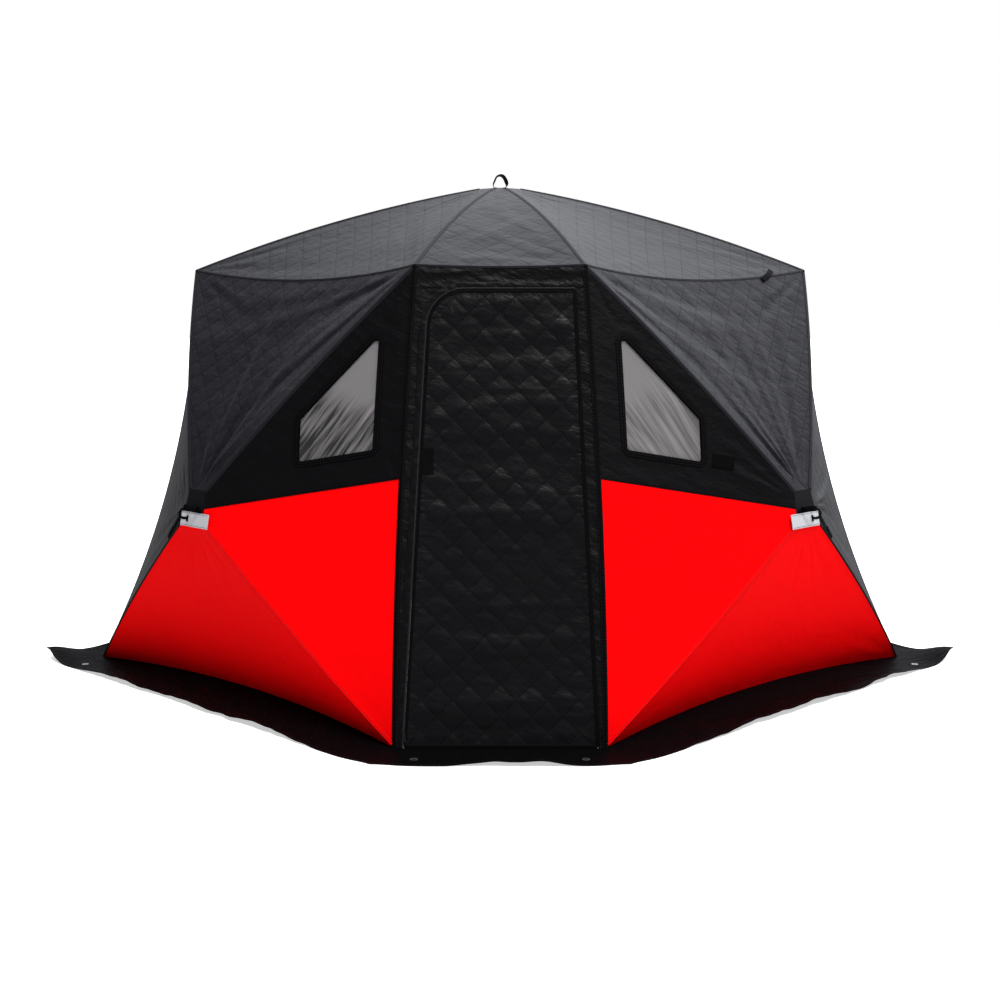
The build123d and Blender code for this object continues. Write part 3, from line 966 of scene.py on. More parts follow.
@dataclass
class BarRow:
    """Bars of one size laid along lines: stitches or zipper teeth."""

    name: str
    length: float
    width: float
    height: float
    pitch: float
    finish: PlainFinish
    body: str = "shelter"
    probe: float = 1e-3
    places: list[Array] = field(default_factory=list)
    ways: list[Array] = field(default_factory=list)
    outs: list[Array] = field(default_factory=list)

    def follow(self, points: Array, normals: Array, phase: float = 0.5) -> None:
        """Sets bars along a line at the pitch.

        Args:
            points: Points along the line.
            normals: The way out, at each point or once for all.
            phase: Share of a pitch before the first bar.
        """
        normals = np.broadcast_to(normals, points.shape)
        far = run_length(points)
        count = int(far[-1] / self.pitch)
        if count < 1:
            return
        stops = (np.arange(count) + phase) * far[-1] / count

        def sampled(values: Array, where: Array) -> Array:
            """Values at some distances along the line."""
            return np.stack([np.interp(where, far, values[:, i]) for i in range(3)], axis=1)

        self.places.append(sampled(points, stops))
        self.ways.append(unit(sampled(points, stops + self.probe) - sampled(points, stops - self.probe)))
        self.outs.append(unit(sampled(normals, stops)))

    def build(self, tree: bpy.types.NodeTree) -> Object:
        """Turns the rows into one plain mesh through geometry nodes."""
        points = np.concatenate(self.places)
        mesh = bpy.data.meshes.new(self.name + "_rows")
        mesh.vertices.add(len(points))
        mesh.vertices.foreach_set("co", points.astype(np.float32).ravel())
        for label, parts in (("way", self.ways), ("out", self.outs)):
            attribute = mesh.attributes.new(label, "FLOAT_VECTOR", "POINT")
            attribute.data.foreach_set("vector", np.concatenate(parts).astype(np.float32).ravel())
        rows = placed(self.name + "_rows", mesh)
        maker = rows.modifiers.new("bars", "NODES")
        maker.node_group = tree
        sizes = {
            "Length": self.length, "Width": self.width, "Height": self.height,
            "Thread": self.finish.material(),
        }
        for item in tree.interface.items_tree:
            if item.in_out == "INPUT" and item.name in sizes:
                maker[item.identifier] = sizes[item.name]
        view = bpy.context.evaluated_depsgraph_get()
        made = bpy.data.meshes.new_from_object(rows.evaluated_get(view))
        rows.modifiers.remove(maker)
        bpy.data.objects.remove(rows)
        return dress(placed(self.name, made), self.finish, self.body)


# Fabric panels


def diamonds(x: Array, y: Array, pitch: float) -> Array:
    """Puffed diamonds, from 0 on two crossing families of stitched lines to 1 between them."""
    turn = math.pi / (pitch * math.sqrt(2))
    return np.abs(np.sin((x + y) * turn) * np.sin((x - y) * turn)) ** PUFF_POWER


@dataclass(frozen=True)
class Pull:
    """Creases that run out from one corner of a panel."""

    corner: tuple[float, float]
    height: float = 0.004
    reach: float = 0.35
    rays: float = 9.0


@dataclass
class FabricPanel:
    """One stretched panel: patch outside, shrunk copy inside, creases in between."""

    node: str
    surface: Patch
    finish: FabricFinish
    inner_scale: float
    seed: int
    pulls: Sequence[Pull] = ()
    slack: float = 0.0025
    rests_on: Sequence[str] = ("wall_poles",)
    slack_scale: tuple[float, float] = (2.2, 5.5)
    pull_power: float = 0.8
    pull_step: float = 11.3
    pull_wander: tuple[float, float] = (1.5, 5.0)
    pull_start: tuple[float, float] = (0.03, 0.16)
    hem_ease: tuple[float, float] = (0.012, 0.085)

    def lengths(self) -> tuple[float, float]:
        """Longest run across and up the panel."""
        share = np.linspace(0, 1, 25)
        lines = [np.full_like(share, place) for place in (0.0, 0.5, 1.0)]
        across = max(float(np.sum(steps_of(self.surface.at(share, line)))) for line in lines)
        upward = max(float(np.sum(steps_of(self.surface.at(line, share)))) for line in lines)
        return across, upward

    def cloth(self, points: Array) -> Array:
        """Metric coordinates on the panel's mean plane."""
        level, uphill = self.surface.axes()
        return np.stack([points @ level, points @ uphill], axis=-1)

    def edge_values(self, u: Array, v: Array) -> tuple[Array, Array]:
        """Distance to the nearest edge, and the way along that edge."""
        here = self.surface.at(u, v)
        zero, one = np.zeros_like(u), np.ones_like(u)
        ends = [self.surface.at(*place) for place in ((zero, v), (one, v), (u, zero), (u, one))]
        distance = np.stack([np.linalg.norm(here - end, axis=-1) for end in ends])
        across, upward = self.lengths()
        along = np.stack([v * upward, v * upward, u * across, u * across])
        nearest = np.argmin(distance, axis=0)
        return np.min(distance, axis=0), np.take_along_axis(along, nearest[None], axis=0)[0]

    def relief(self, cloth: Array, edge: Array) -> Array:
        """How far the slack fabric stands off its smooth patch."""
        noise = Ripples(self.seed)
        x, y = np.moveaxis(cloth, -1, 0)
        height = noise.layered(x * self.slack_scale[0], y * self.slack_scale[1]) * self.slack
        for number, pull in enumerate(self.pulls):
            corner = self.surface.at(*(np.array([place]) for place in pull.corner))
            away = cloth - self.cloth(corner)[0]
            far = np.linalg.norm(away, axis=-1)
            angle = np.arctan2(away[..., 1], away[..., 0]) + math.pi
            wander = far * self.pull_wander[0] + self.pull_wander[1]
            rays = noise.at(angle * pull.rays + self.pull_step * number, wander)
            sharp = np.sign(rays) * np.abs(rays) ** self.pull_power
            height = height + sharp * pull.height * np.exp(-far / pull.reach) * smooth(far, *self.pull_start)
        return height * smooth(edge, *self.hem_ease)

    def outer(self, u: Array, v: Array, edge: Array) -> Array:
        """Points of the outer face with its creases."""
        points = self.surface.at(u, v)
        return points + self.surface.normal(u, v) * self.relief(self.cloth(points), edge)[..., None]

    def inside(self, points: Array) -> Array:
        """The same points on the inner face."""
        return self.surface.centre + (points - self.surface.centre) * self.inner_scale

    def lattice(self) -> tuple[Array, Array, Array]:
        """Places across and up the patch, and the quads over them."""
        across, upward = self.lengths()
        columns = max(int(across / self.finish.grid), 4) + 1
        rows = max(int(upward / self.finish.grid), 4) + 1
        u, v = np.meshgrid(np.linspace(0, 1, columns), np.linspace(0, 1, rows))
        return u.ravel(), v.ravel(), grid_quads(rows, columns)

    def flat_size(self, points: Array, quads: Array) -> tuple[tuple[float, float], float]:
        """Cut size: a rectangle round the flat panel, and the panel's own area."""
        a, b, c, d = (points[quads[:, i]] for i in range(4))
        halves = [np.linalg.norm(np.cross(one - a, two - a), axis=-1) for one, two in ((b, c), (c, d))]
        cloth = self.cloth(points)
        span = (cloth.max(axis=0) - cloth.min(axis=0)) * CUT_ALLOWANCE
        area, box = float((halves[0] + halves[1]).sum()) / 2, span[0] * span[1]
        return (float(span[0]), float(span[1])), float(np.clip(area, LEAST_AREA_SHARE * box, box))

    def build(self) -> Object:
        u, v, quads = self.lattice()
        edge, along = self.edge_values(u, v)
        outer = self.outer(u, v, edge)
        draft = MeshDraft()
        draft.add_shell(outer, self.inside(outer), quads, self.cloth(outer), edge=edge, along=along)
        obj = dress(draft.build(self.node + "_fabric"), self.finish, nodes=[self.node])
        flat, area = self.flat_size(self.surface.at(u, v), quads)
        return obj


@dataclass
class WindowShape:
    """Four-sided window set in from the corner seam, the red panel and the pole."""

    sizes: Sizes
    origin: Array
    level: Array
    uphill: Array
    seam_top: Array
    red_end: Array
    pole_end: Array

    @classmethod
    def on(cls, sizes: Sizes, red_seam: Array, eave_corner: Array, pole_end: Array) -> "WindowShape":
        """Shape in the plane through the red seam and the eave corner.

        Args:
            sizes: The hut's sizes.
            red_seam: Curve of the seam over the red panel.
            eave_corner: Corner of the eave beside the window.
            pole_end: End of the pole over the window, at the hub.

        Returns:
            The shape.
        """
        level = unit(red_seam[2] - red_seam[0])
        normal = unit(np.cross(level, eave_corner - red_seam[0]))
        return cls(sizes, red_seam[0], level, np.cross(normal, level), eave_corner, red_seam[2], pole_end)

    def local(self, points: Array) -> Array:
        """Points in the window's own plane."""
        return (points - self.origin) @ np.stack([self.level, self.uphill], axis=1)

    def find_on(self, surface: Patch, spots: Array) -> tuple[Array, Array]:
        """The u and v of a patch's points over spots of the window's plane."""
        return surface.find(spots, self.level, self.uphill, self.origin)

    def corners(self, grow: float = 0.0) -> Array:
        """Corners: seam and pole, seam and red, end and red, end and pole."""
        start, seam_top, red_end, pole_end = self.local(
            np.stack([self.origin, self.seam_top, self.red_end, self.pole_end])
        )
        inside = (start + seam_top + red_end + pole_end + start + seam_top) / 6

        def moved(a: Array, b: Array, margin: float) -> tuple[Array, Array]:
            """A line moved towards the middle of the panel."""
            side = unit(np.array([-(b - a)[1], (b - a)[0]]))
            side = side if side @ (inside - a) > 0 else -side
            return a + side * margin, b - a

        def cross(first: tuple[Array, Array], second: tuple[Array, Array]) -> Array:
            """Where two lines meet."""
            share = np.linalg.solve(np.stack([first[1], -second[1]], axis=1), second[0] - first[0])
            return first[0] + first[1] * share[0]

        s = self.sizes
        seam = moved(start, seam_top, s.window_seam_margin - grow)
        end = moved(start, seam_top, s.window_reach + grow)
        red = moved(start, red_end, s.window_red_margin - grow)
        pole = moved(seam_top, pole_end, s.window_pole_margin - grow)
        return np.stack([cross(seam, pole), cross(seam, red), cross(end, red), cross(end, pole)])

    def outline(self, grow: float, per_side: Sequence[int], bend: int = 5) -> tuple[Array, Array]:
        """Rounded outline, side by side from the top corner.

        Args:
            grow: How far the outline is moved out.
            per_side: Steps along each side.
            bend: Points round each corner.

        Returns:
            Points in the window's plane, and how far round each one stands, a side counting as one.
        """
        corners = self.corners(grow)
        least_radius, corner_share = 0.002, 0.02
        radius = max(self.sizes.window_corner_radius + grow, least_radius)
        arcs = []
        for i in range(4):
            to_last = unit(corners[i - 1] - corners[i])
            to_next = unit(corners[(i + 1) % 4] - corners[i])
            half = math.acos(np.clip(to_last @ to_next, -1, 1)) / 2
            middle = corners[i] + unit(to_last + to_next) * radius / math.sin(half)
            first = corners[i] + to_last * radius / math.tan(half) - middle
            last = corners[i] + to_next * radius / math.tan(half) - middle
            share = np.linspace(0, 1, bend)[:, None]
            arcs.append(middle + unit(first * (1 - share) + last * share) * radius)
        points, rounds = [], []
        for i, count in enumerate(per_side):
            share = np.linspace(0, 1, count + 1)[1:-1]
            points += [arcs[i], arcs[i][-1] + (arcs[(i + 1) % 4][0] - arcs[i][-1]) * share[:, None]]
            turns = np.linspace(-corner_share, corner_share, bend)
            rounds += [turns + i, i + corner_share + (1 - 2 * corner_share) * share]
        return np.concatenate(points), np.concatenate(rounds)

    def distance(self, local: Array) -> Array:
        """Distance of points in the plane from the window's outline."""
        corners = self.corners()
        gaps = []
        for i in range(4):
            a, b = corners[i], corners[(i + 1) % 4]
            share = np.clip(((local - a) @ (b - a)) / ((b - a) @ (b - a)), 0, 1)
            gaps.append(np.linalg.norm(local - a - share[:, None] * (b - a), axis=1))
        return np.min(gaps, axis=0)


@dataclass
class WindowPanel(FabricPanel):
    """Black panel with a window cut through it."""

    shape: WindowShape | None = None
    split: float = 0.62
    per_side: tuple[int, ...] = (34, 26, 14, 34)
    rows: int = 11
    far_columns: int = 32

    def rectangle(self, rounds: Array) -> tuple[Array, Array]:
        """Places on the border of the part of the panel that holds the window."""
        rounds = np.clip(rounds % 4, 0, 4)
        side = np.floor(rounds).astype(int) % 4
        share = rounds - np.floor(rounds)
        zero, one = np.zeros_like(share), np.ones_like(share)
        u = np.choose(side, [zero, share, one, 1 - share]) * self.split
        return u, np.choose(side, [1 - share, zero, share, one])

    def lattice(self) -> tuple[Array, Array, Array]:
        """Rings round the window, then a grid out to the hub."""
        hole, rounds = self.shape.outline(0.0, self.per_side)
        hole_u, hole_v = self.shape.find_on(self.surface, hole)
        out_u, out_v = self.rectangle(rounds)
        corner = np.abs(rounds - np.round(rounds)) < 1e-9
        out_u[corner], out_v[corner] = self.rectangle(np.round(rounds[corner]))
        share = np.linspace(0, 1, self.rows + 1)[:, None]
        u = out_u + (hole_u - out_u) * share
        v = out_v + (hole_v - out_v) * share
        quads = grid_quads(self.rows + 1, len(hole), True)
        on_split = np.abs(out_u - self.split) < 1e-9
        heights = np.unique(np.round(out_v[on_split], 9))
        across = np.linspace(self.split, 1, self.far_columns)
        parts = ((u, v), np.meshgrid(across, heights))
        places = np.concatenate([np.stack([a.ravel(), b.ravel()], axis=1) for a, b in parts])
        quads = np.concatenate([quads, grid_quads(len(heights), len(across))[:, ::-1] + u.size])
        places, quads = weld(places, self.facing(places, quads))
        return places[:, 0], places[:, 1], quads

    def facing(self, places: Array, quads: Array) -> Array:
        """Turns every quad the same way round on the patch."""
        a, b, c, d = (places[quads[:, i]] for i in range(4))
        area = (c - a)[:, 0] * (d - b)[:, 1] - (c - a)[:, 1] * (d - b)[:, 0]
        return np.where((area > 0)[:, None], quads, quads[:, ::-1])

    def edge_values(self, u: Array, v: Array) -> tuple[Array, Array]:
        """Distance to the nearest edge of the panel or the window."""
        edge, along = super().edge_values(u, v)
        local = self.shape.local(self.surface.at(u, v))
        hole = self.shape.distance(local)
        return np.minimum(edge, hole), np.where(hole < edge, local[:, 0] + local[:, 1], along)


@dataclass
class VinylPane:
    """Soft clear pane behind a window, with creases, and the binding round the opening."""

    panel: WindowPanel
    plan: Plan
    lean: float
    crush: float
    draft: MeshDraft
    bindings: MeshDraft
    thread: BarRow
    steps: int = 64
    lap_share: float = 0.9
    lean_degrees: float = 34.0
    crease_height: float = 0.006
    crease_mean: float = 0.25
    held_edge: float = 0.03
    binding_steps: tuple[int, ...] = (30, 22, 10, 30)
    binding_profile: Sequence[tuple[float, float]] = (
        (-0.004, -0.005), (-0.003, 0.0014), (0.003, 0.0024), (0.018, 0.0020),
        (0.021, 0.0012), (0.022, -0.001), (0.008, -0.002),
    )
    binding_seams: Sequence[tuple[float, float]] = ((0.005, 0.0024), (0.015, 0.0021))

    def build(self) -> float:
        """Adds the pane and its binding to the drafts and returns the pane's area."""
        shape, surface = self.panel.shape, self.panel.surface
        low = shape.corners(shape.sizes.window_lap * self.lap_share)
        share = np.linspace(0, 1, self.steps)
        s, t = (grid.reshape(-1, 1) for grid in np.meshgrid(share, share))
        spots = (low[1] * (1 - s) + low[2] * s) * (1 - t) + (low[0] * (1 - s) + low[3] * s) * t
        u, v = shape.find_on(surface, spots)
        s, t = s[:, 0], t[:, 0]
        out, face = surface.normal(u, v), self.panel.inside(surface.at(u, v))
        across, upward = self.panel.cloth(face).T
        turn = math.radians(self.lean_degrees) * self.lean
        x = across * math.cos(turn) - upward * math.sin(turn)
        y = across * math.sin(turn) + upward * math.cos(turn)
        noise = Ripples(self.panel.seed + 5)
        bend = noise.at(x * 5, y * 4) * 1.3
        lines = noise.at(x * 40 + bend, y * 4.0) * 0.55 + noise.at(x * 85 + bend * 2, y * 7.0) * 0.45
        plain_zone = smooth(noise.at(x * 3 + 4, y * 3) * 0.10 + t * 0.75 - s * 0.85, 0.02, 0.28)
        crushed = (1 - plain_zone * smooth(t, 0.3, 0.5)) * self.crush
        inside = np.where(self.inside_of(spots, shape.corners()), shape.distance(spots), 0.0)
        ease = smooth(inside, 0.0, self.held_edge)
        height = (lines * crushed - self.crease_mean) * self.crease_height * ease
        outer, quads = face + out * height[:, None], grid_quads(self.steps, self.steps)
        inner = outer - out * self.plan.sizes.vinyl_thickness
        along = np.stack([x + bend * 0.005, y], axis=1)
        # The crease and crushed values also set the painted highlights and shade of the vinyl.
        self.draft.add_shell(outer, inner, quads, along, crease=lines, crushed=crushed)
        self.bind()
        return cross_area(outer, quads)

    @staticmethod
    def inside_of(spots: Array, corners: Array) -> Array:
        """Whether points lie inside a four-sided outline."""
        signs = []
        for i in range(4):
            a, b = corners[i], corners[(i + 1) % 4]
            signs.append((b - a)[0] * (spots - a)[:, 1] - (b - a)[1] * (spots - a)[:, 0])
        signs = np.array(signs)
        return np.all(signs > 0, axis=0) | np.all(signs < 0, axis=0)

    def ring(self, grow: float, height: float) -> tuple[Array, Array]:
        """Points round the opening, and the way out at each."""
        surface = self.panel.surface
        u, v = self.panel.shape.find_on(surface, self.panel.shape.outline(grow, self.binding_steps)[0])
        out = surface.normal(u, v)
        return surface.at(u, v) + out * height, out

    def bind(self) -> None:
        """Adds the stitched binding round the opening."""
        for spot in self.binding_seams:
            line, out = self.ring(*spot)
            self.thread.follow(np.concatenate([line, line[:1]]), np.concatenate([out, out[:1]]))
        section = np.stack([self.ring(*spot)[0] for spot in self.binding_profile], axis=1)
        rows, columns = section.shape[:2]
        quads = grid_quads(rows + 1, columns, True) % (rows * columns)
        far, across = np.arange(rows) * 0.01, np.arange(columns) * 0.004
        self.bindings.add(
            section.reshape(-1, 3), quads, np.stack([np.repeat(far, columns), np.tile(across, rows)], axis=1)
        )


@dataclass
class SeamTape:
    """Bound seams: tapes that straddle two panels, with rows of stitches."""

    name: str
    finish: PlainFinish
    half_width: float = 0.011
    height: float = 0.0016
    sunk: float = 0.001
    lowest: float = 0.0006
    draft: MeshDraft = field(default_factory=MeshDraft)

    def lay(self, a: EdgeFrame, b: EdgeFrame, thread: BarRow, half_width: float | None = None) -> None:
        """Lays one tape over a seam.

        Args:
            a: Frame along the seam into one panel.
            b: The same seam into the other panel.
            thread: Stitches to add.
            half_width: Half the tape's width, where it differs from the others'.
        """
        middle = unit(a.normal + b.normal)
        w, h = half_width or self.half_width, self.height
        rim = [(w, -self.sunk), (w * 0.92, h), (w * 0.25, h * 1.1)]
        under = (w * 0.5, -2 * self.sunk)
        section = [a.over(*spot) for spot in rim] + [a.points + middle * h * 1.7]
        section += [b.over(*spot) for spot in rim[::-1]]
        section += [b.over(*under), a.points - middle * (3 * self.sunk), a.over(*under)]
        section = np.stack(section, axis=1)
        section[..., 2] = np.maximum(section[..., 2], self.lowest)
        points, quads = tube(section)
        far, columns = run_length(a.points), section.shape[1]
        uv = np.stack([np.repeat(far, columns), np.tile(np.linspace(0, 2 * w, columns), len(far))], axis=1)
        self.draft.add(points, quads, uv)
        for side in (a, b):
            thread.follow(side.over(w * 0.6, h * 1.12), side.normal)

    def build(self) -> Object:
        """Makes all the tapes as one piece."""
        return dress(self.draft.build(self.name, 70.0), self.finish)


# Slack and pulls of the panels and the points along a seam
WALL_REST = ("wall_poles", "wall_hubs")
WALL_PANELS = (
    ("top_panel", CHARCOAL, 0.0045, (
        Pull((0, 0), 0.010, 0.4, 11.0), Pull((1, 0), 0.013, 0.5, 12.0), Pull((0.5, 1), 0.010, 0.5, 13.0),
    )),
    ("red_side_panel", RED, 0.0016, (Pull((1, 0.5), 0.003, 0.3), Pull((0, 0), 0.004, 0.25))),
    ("red_base_panel", RED, 0.0020, (
        Pull((0, 0), 0.006, 0.3), Pull((1, 0), 0.004, 0.3), Pull((0.5, 1), 0.003, 0.3),
    )),
    ("plain_panel", CHARCOAL, 0.0045, (
        Pull((0, 0), 0.008, 0.4), Pull((0, 1), 0.008, 0.4), Pull((1, 0.5), 0.007, 0.4),
    )),
)
WINDOW_SLACK = 0.0030
WINDOW_PULLS = (Pull((0, 1), 0.008, 0.3), Pull((1, 0.5), 0.008, 0.4))
ROOF_SLACK = 0.0024
ROOF_PULLS = (Pull((0, 0), 0.008, 0.4), Pull((1, 0), 0.008, 0.4), Pull((0.5, 1), 0.004, 0.4, 12.0))
SEAM_STEPS = 61


class HubWall:
    """Wall pushed out by its hub: five panels, a window and their seams."""

    def __init__(self, plan: Plan, name: str, window_corner: str, plain_corner: str, seed: int) -> None:
        """Works out the wall's lines and patches."""
        self.plan, self.name, self.seed = plan, name, seed
        self.window_corner, self.plain_corner = window_corner, plain_corner
        s = plan.sizes
        self.normal = plan.outward(window_corner, plain_corner)
        rise = s.eave_height - s.skirt_thickness
        share = (s.hub_height - s.hub_bulge * self.normal[2] - s.skirt_thickness) / rise
        low, high = ((ring[window_corner] + ring[plain_corner]) / 2 for ring in (plan.base, plan.eave))
        self.tip = low + (high - low) * share + self.normal * s.hub_bulge
        pair = (window_corner, plain_corner)
        window_top, plain_top = (self.pole_line(plan.eave[corner]) for corner in pair)
        window_base, plain_base = (self.pole_line(plan.base[corner]) for corner in pair)
        seam = plan.corner_seam(window_corner)
        self.seam_share = (s.red_seam_height - s.skirt_thickness) / rise
        red_end = (window_top[2] + window_base[2]) / 2
        self.red_seam = bowed(point_on(seam, self.seam_share), red_end)
        side_low, side_high = stretch(seam, 0, self.seam_share), stretch(seam, self.seam_share, 1)
        eave, hem = plan.eave_edge(plain_corner, window_corner), plan.hem_edge(plain_corner, window_corner)
        plain_seam, plain_close = plan.corner_seam(plain_corner), bowed(plain_base[2], plain_top[2])
        red_close, base_close = bowed(window_base[2], red_end), bowed(plain_base[2], window_base[2])
        self.surfaces = {
            "window_panel": plan.surface(self.red_seam, window_top, side_high, bowed(red_end, window_top[2])),
            "top_panel": plan.surface(eave, bowed(plain_top[2], window_top[2]), plain_top, window_top),
            "red_side_panel": plan.surface(window_base, self.red_seam, side_low, red_close),
            "red_base_panel": plan.surface(hem, base_close, plain_base, window_base),
            "plain_panel": plan.surface(plain_base, plain_top, plain_seam, plain_close),
        }
        self.shape = WindowShape.on(s, self.red_seam, plan.eave[window_corner], window_top[2])

    def pole_line(self, corner: Array) -> Array:
        """Fabric line over a wall pole, up to the patch at the hub."""
        line = bowed(corner, self.tip, self.normal * self.plan.sizes.wall_pole_bow)
        level = float((self.tip - self.normal * self.plan.sizes.hub_patch_drop) @ self.normal)
        return stretch(line, 0.0, share_at_level(line, self.normal, level))

    def build_panels(self) -> WindowPanel:
        """Makes the five panels and returns the one with the window."""
        scale = self.plan.inner_scale
        for number, (piece, finish, slack, pulls) in enumerate(WALL_PANELS):
            FabricPanel(
                f"{self.name}_{piece}", self.surfaces[piece], finish, scale, self.seed + number, pulls, slack,
                WALL_REST,
            ).build()
        panel = WindowPanel(
            f"{self.name}_window_panel", self.surfaces["window_panel"], BLACK, scale, self.seed + 7,
            WINDOW_PULLS, WINDOW_SLACK, WALL_REST, shape=self.shape,
        )
        panel.build()
        return panel

    def lay_seams(self, tapes: dict[str, SeamTape], thread: BarRow) -> None:
        """Lays the tapes over the seams inside the wall."""
        share = np.linspace(0.014, 1, SEAM_STEPS)
        of, f, slim = EdgeFrame.of, self.surfaces, 0.0055
        pairs = (
            ("charcoal", "top_panel", EdgeSide.RIGHT, "window_panel", EdgeSide.UPPER, None),
            ("charcoal", "top_panel", EdgeSide.LEFT, "plain_panel", EdgeSide.UPPER, None),
            ("red", "red_base_panel", EdgeSide.RIGHT, "red_side_panel", EdgeSide.LOWER, None),
            ("charcoal", "red_base_panel", EdgeSide.LEFT, "plain_panel", EdgeSide.LOWER, slim),
            ("black", "red_side_panel", EdgeSide.UPPER, "window_panel", EdgeSide.LOWER, slim),
        )
        for tape, first, first_side, second, second_side, width in pairs:
            tapes[tape].lay(of(f[first], first_side, share), of(f[second], second_side, share), thread, width)


# Lines of a pull loop, in shares of its span and height, and of a toggle strap, in metres
LOOP_LINE = (
    (0.10, 0.03), (0.36, 0.04), (0.50, 0.22), (0.43, 0.62), (0.12, 0.97),
    (-0.18, 0.93), (-0.40, 0.58), (-0.50, 0.22), (-0.38, 0.04), (-0.08, 0.03),
)
TOGGLE_LINE = (
    (-0.05, -0.008), (0.0, -0.006), (0.05, -0.006), (0.078, -0.013), (0.086, -0.026), (0.076, -0.037),
    (0.034, -0.040),
)


def pull_loop(seat: Array, side: Array, normal: Array, span: float, height: float, twist: float) -> MeshParts:
    """Loop of webbing sewn on a hub's patch.

    Args:
        seat: Middle of its foot.
        side: The way its span runs.
        normal: The way it stands.
        span: Its width.
        height: Its height.
        twist: How far the webbing turns about itself, in radians.

    Returns:
        Points, quads and metric coordinates.
    """
    line = through(np.array(LOOP_LINE) * (span, height), 80)
    sag = np.cross(side, normal)
    on, rise = line[:, :1], line[:, 1:]
    path = seat + side * on + normal * (rise + 0.0004) + sag * 0.1 * rise
    ahead = unit(np.gradient(line, axis=0))
    turned = 0.35 + 0.65 * smooth(on, -0.3 * span, 0.4 * span)
    bent = twist * smooth(rise, 0.08 * height, 0.5 * height) * turned
    out = side * ahead[:, 1:] - normal * ahead[:, :1]
    facing = out * np.cos(bent) + sag * np.sin(bent)
    return band(path, facing, Sizes.strap_width * 0.7, Sizes.strap_thickness * 0.8)


@dataclass
class HubTrim:
    """Reflective tab, pull loop, toggle strap and loose strap end on the hub of a wall."""

    wall: HubWall
    webbing: MeshDraft
    tape: MeshDraft
    thread: BarRow
    flare: float = 0.005
    tape_thickness: float = 0.0015
    tape_lift: float = 0.0007
    tape_hem: float = 0.005
    toggle_strap_width: float = 0.0095
    fold_steps: int = 7

    def __post_init__(self) -> None:
        """Sets up the hub's own directions, the first one away from the window."""
        wall, plan = self.wall, self.wall.plan
        level = unit(np.cross(UP, wall.normal))
        to_window = plan.base[wall.window_corner] - plan.base[wall.plain_corner]
        self.axes = np.stack([-level * np.sign(to_window @ level), np.cross(wall.normal, level), wall.normal])
        self.seat = wall.tip - wall.normal * plan.sizes.hub_patch_drop

    def on_tab(self, away: Array, uphill: Array, lift: float) -> Array:
        """Points over the tab, whose end away from the window stands off a little."""
        out = lift + self.flare * (smooth(away, 0.03, 0.09) + 0.5 * smooth(-away, 0.05, 0.09))
        away, uphill, out = np.broadcast_arrays(away, uphill, out)
        return self.seat + np.stack([away, uphill, out], axis=-1) @ self.axes

    def build(self) -> None:
        """Adds the trim to the drafts."""
        s, normal = self.wall.plan.sizes, self.wall.normal
        ends = ENDS * s.tab_length / 2 - s.tab_shift
        rims = ENDS * s.tab_height / 2 - s.tab_drop
        grid = self.on_tab(np.linspace(*ends, 31), np.linspace(*rims, 9)[:, None], self.tape_lift)
        self.tape.add(*pad(grid, normal, 0.0, self.tape_thickness))
        top = self.tape_lift + self.tape_thickness
        sewn = np.linspace(*(ends - ENDS * self.tape_hem), 40)
        for rim in rims - ENDS * self.tape_hem:
            self.thread.follow(self.on_tab(sewn, rim, top + 0.0003), normal)
        strap = self.on_tab(*through(TOGGLE_LINE, 70).T, top + 0.0014)
        self.webbing.add(*band(strap, normal, self.toggle_strap_width, 0.0022))
        bar = self.on_tab(np.full(9, 0.031), np.linspace(-0.052, -0.028, 9), top + 0.0042)
        self.webbing.add(*band(bar, normal, 0.0065, 0.0065, 0.9))
        plain = self.wall.surfaces["plain_panel"]
        u, v = np.linspace(0.995, 0.868, 30), np.linspace(0.34, 0.05, 30)
        out = plain.normal(u, v)
        tail = plain.at(u, v) + out * 0.0042
        self.webbing.add(*band(tail, out, s.strap_width, s.strap_thickness))
        tail, out = tail[-self.fold_steps:], out[-self.fold_steps:]
        self.webbing.add(*band(tail + out * 0.003, out, s.strap_width * 1.04, s.strap_thickness))
        self.webbing.add(*pull_loop(self.seat, self.axes[0], normal, 0.060, 0.045, 0.3))


class Roof:
    """Five panels over bowed poles that meet at the apex."""

    def __init__(self, plan: Plan) -> None:
        """Works out the ridges and the patches between them."""
        self.plan = plan
        self.ridges = {corner: plan.roof_ridge(corner) for corner in plan.eave}
        self.surfaces = {}
        for side, (a, b) in SIDES.items():
            left, right = self.ridges[a], self.ridges[b]
            self.surfaces[side] = plan.surface(plan.eave_edge(a, b), bowed(left[2], right[2]), left, right)

    def build(self) -> None:
        """Makes the roof's panels."""
        for number, (side, surface) in enumerate(self.surfaces.items()):
            FabricPanel(
                f"roof_{side}_panel", surface, CHARCOAL, self.plan.inner_scale, 60 + number, ROOF_PULLS,
                ROOF_SLACK, ("roof_poles", "roof_hub"),
            ).build()

    def lay_seams(
        self, walls: dict[str, HubWall], door_wall: Patch, tapes: dict[str, SeamTape], thread: BarRow
    ) -> None:
        """Lays the tapes over ridges and eaves."""
        share, ridge_tape, eave_tape = np.linspace(0, 1, SEAM_STEPS), 0.009, 0.006
        of, lay, order = EdgeFrame.of, tapes["charcoal"].lay, list(self.surfaces.values())
        for one, other in zip(order, order[1:] + order[:1]):
            lay(of(one, EdgeSide.RIGHT, share), of(other, EdgeSide.LEFT, share), thread, ridge_tape)
        for side, surface in self.surfaces.items():
            below, edge = door_wall, EdgeSide.UPPER
            if side != "front":
                below, edge = walls[side].surfaces["top_panel"], EdgeSide.LOWER
            same = np.linalg.norm(of(below, edge, np.zeros(1)).points[0] - surface.net[0, 0]) < 1e-6
            under = of(below, edge, share if same else 1 - share)
            lay(of(surface, EdgeSide.LOWER, share), under, thread, eave_tape)


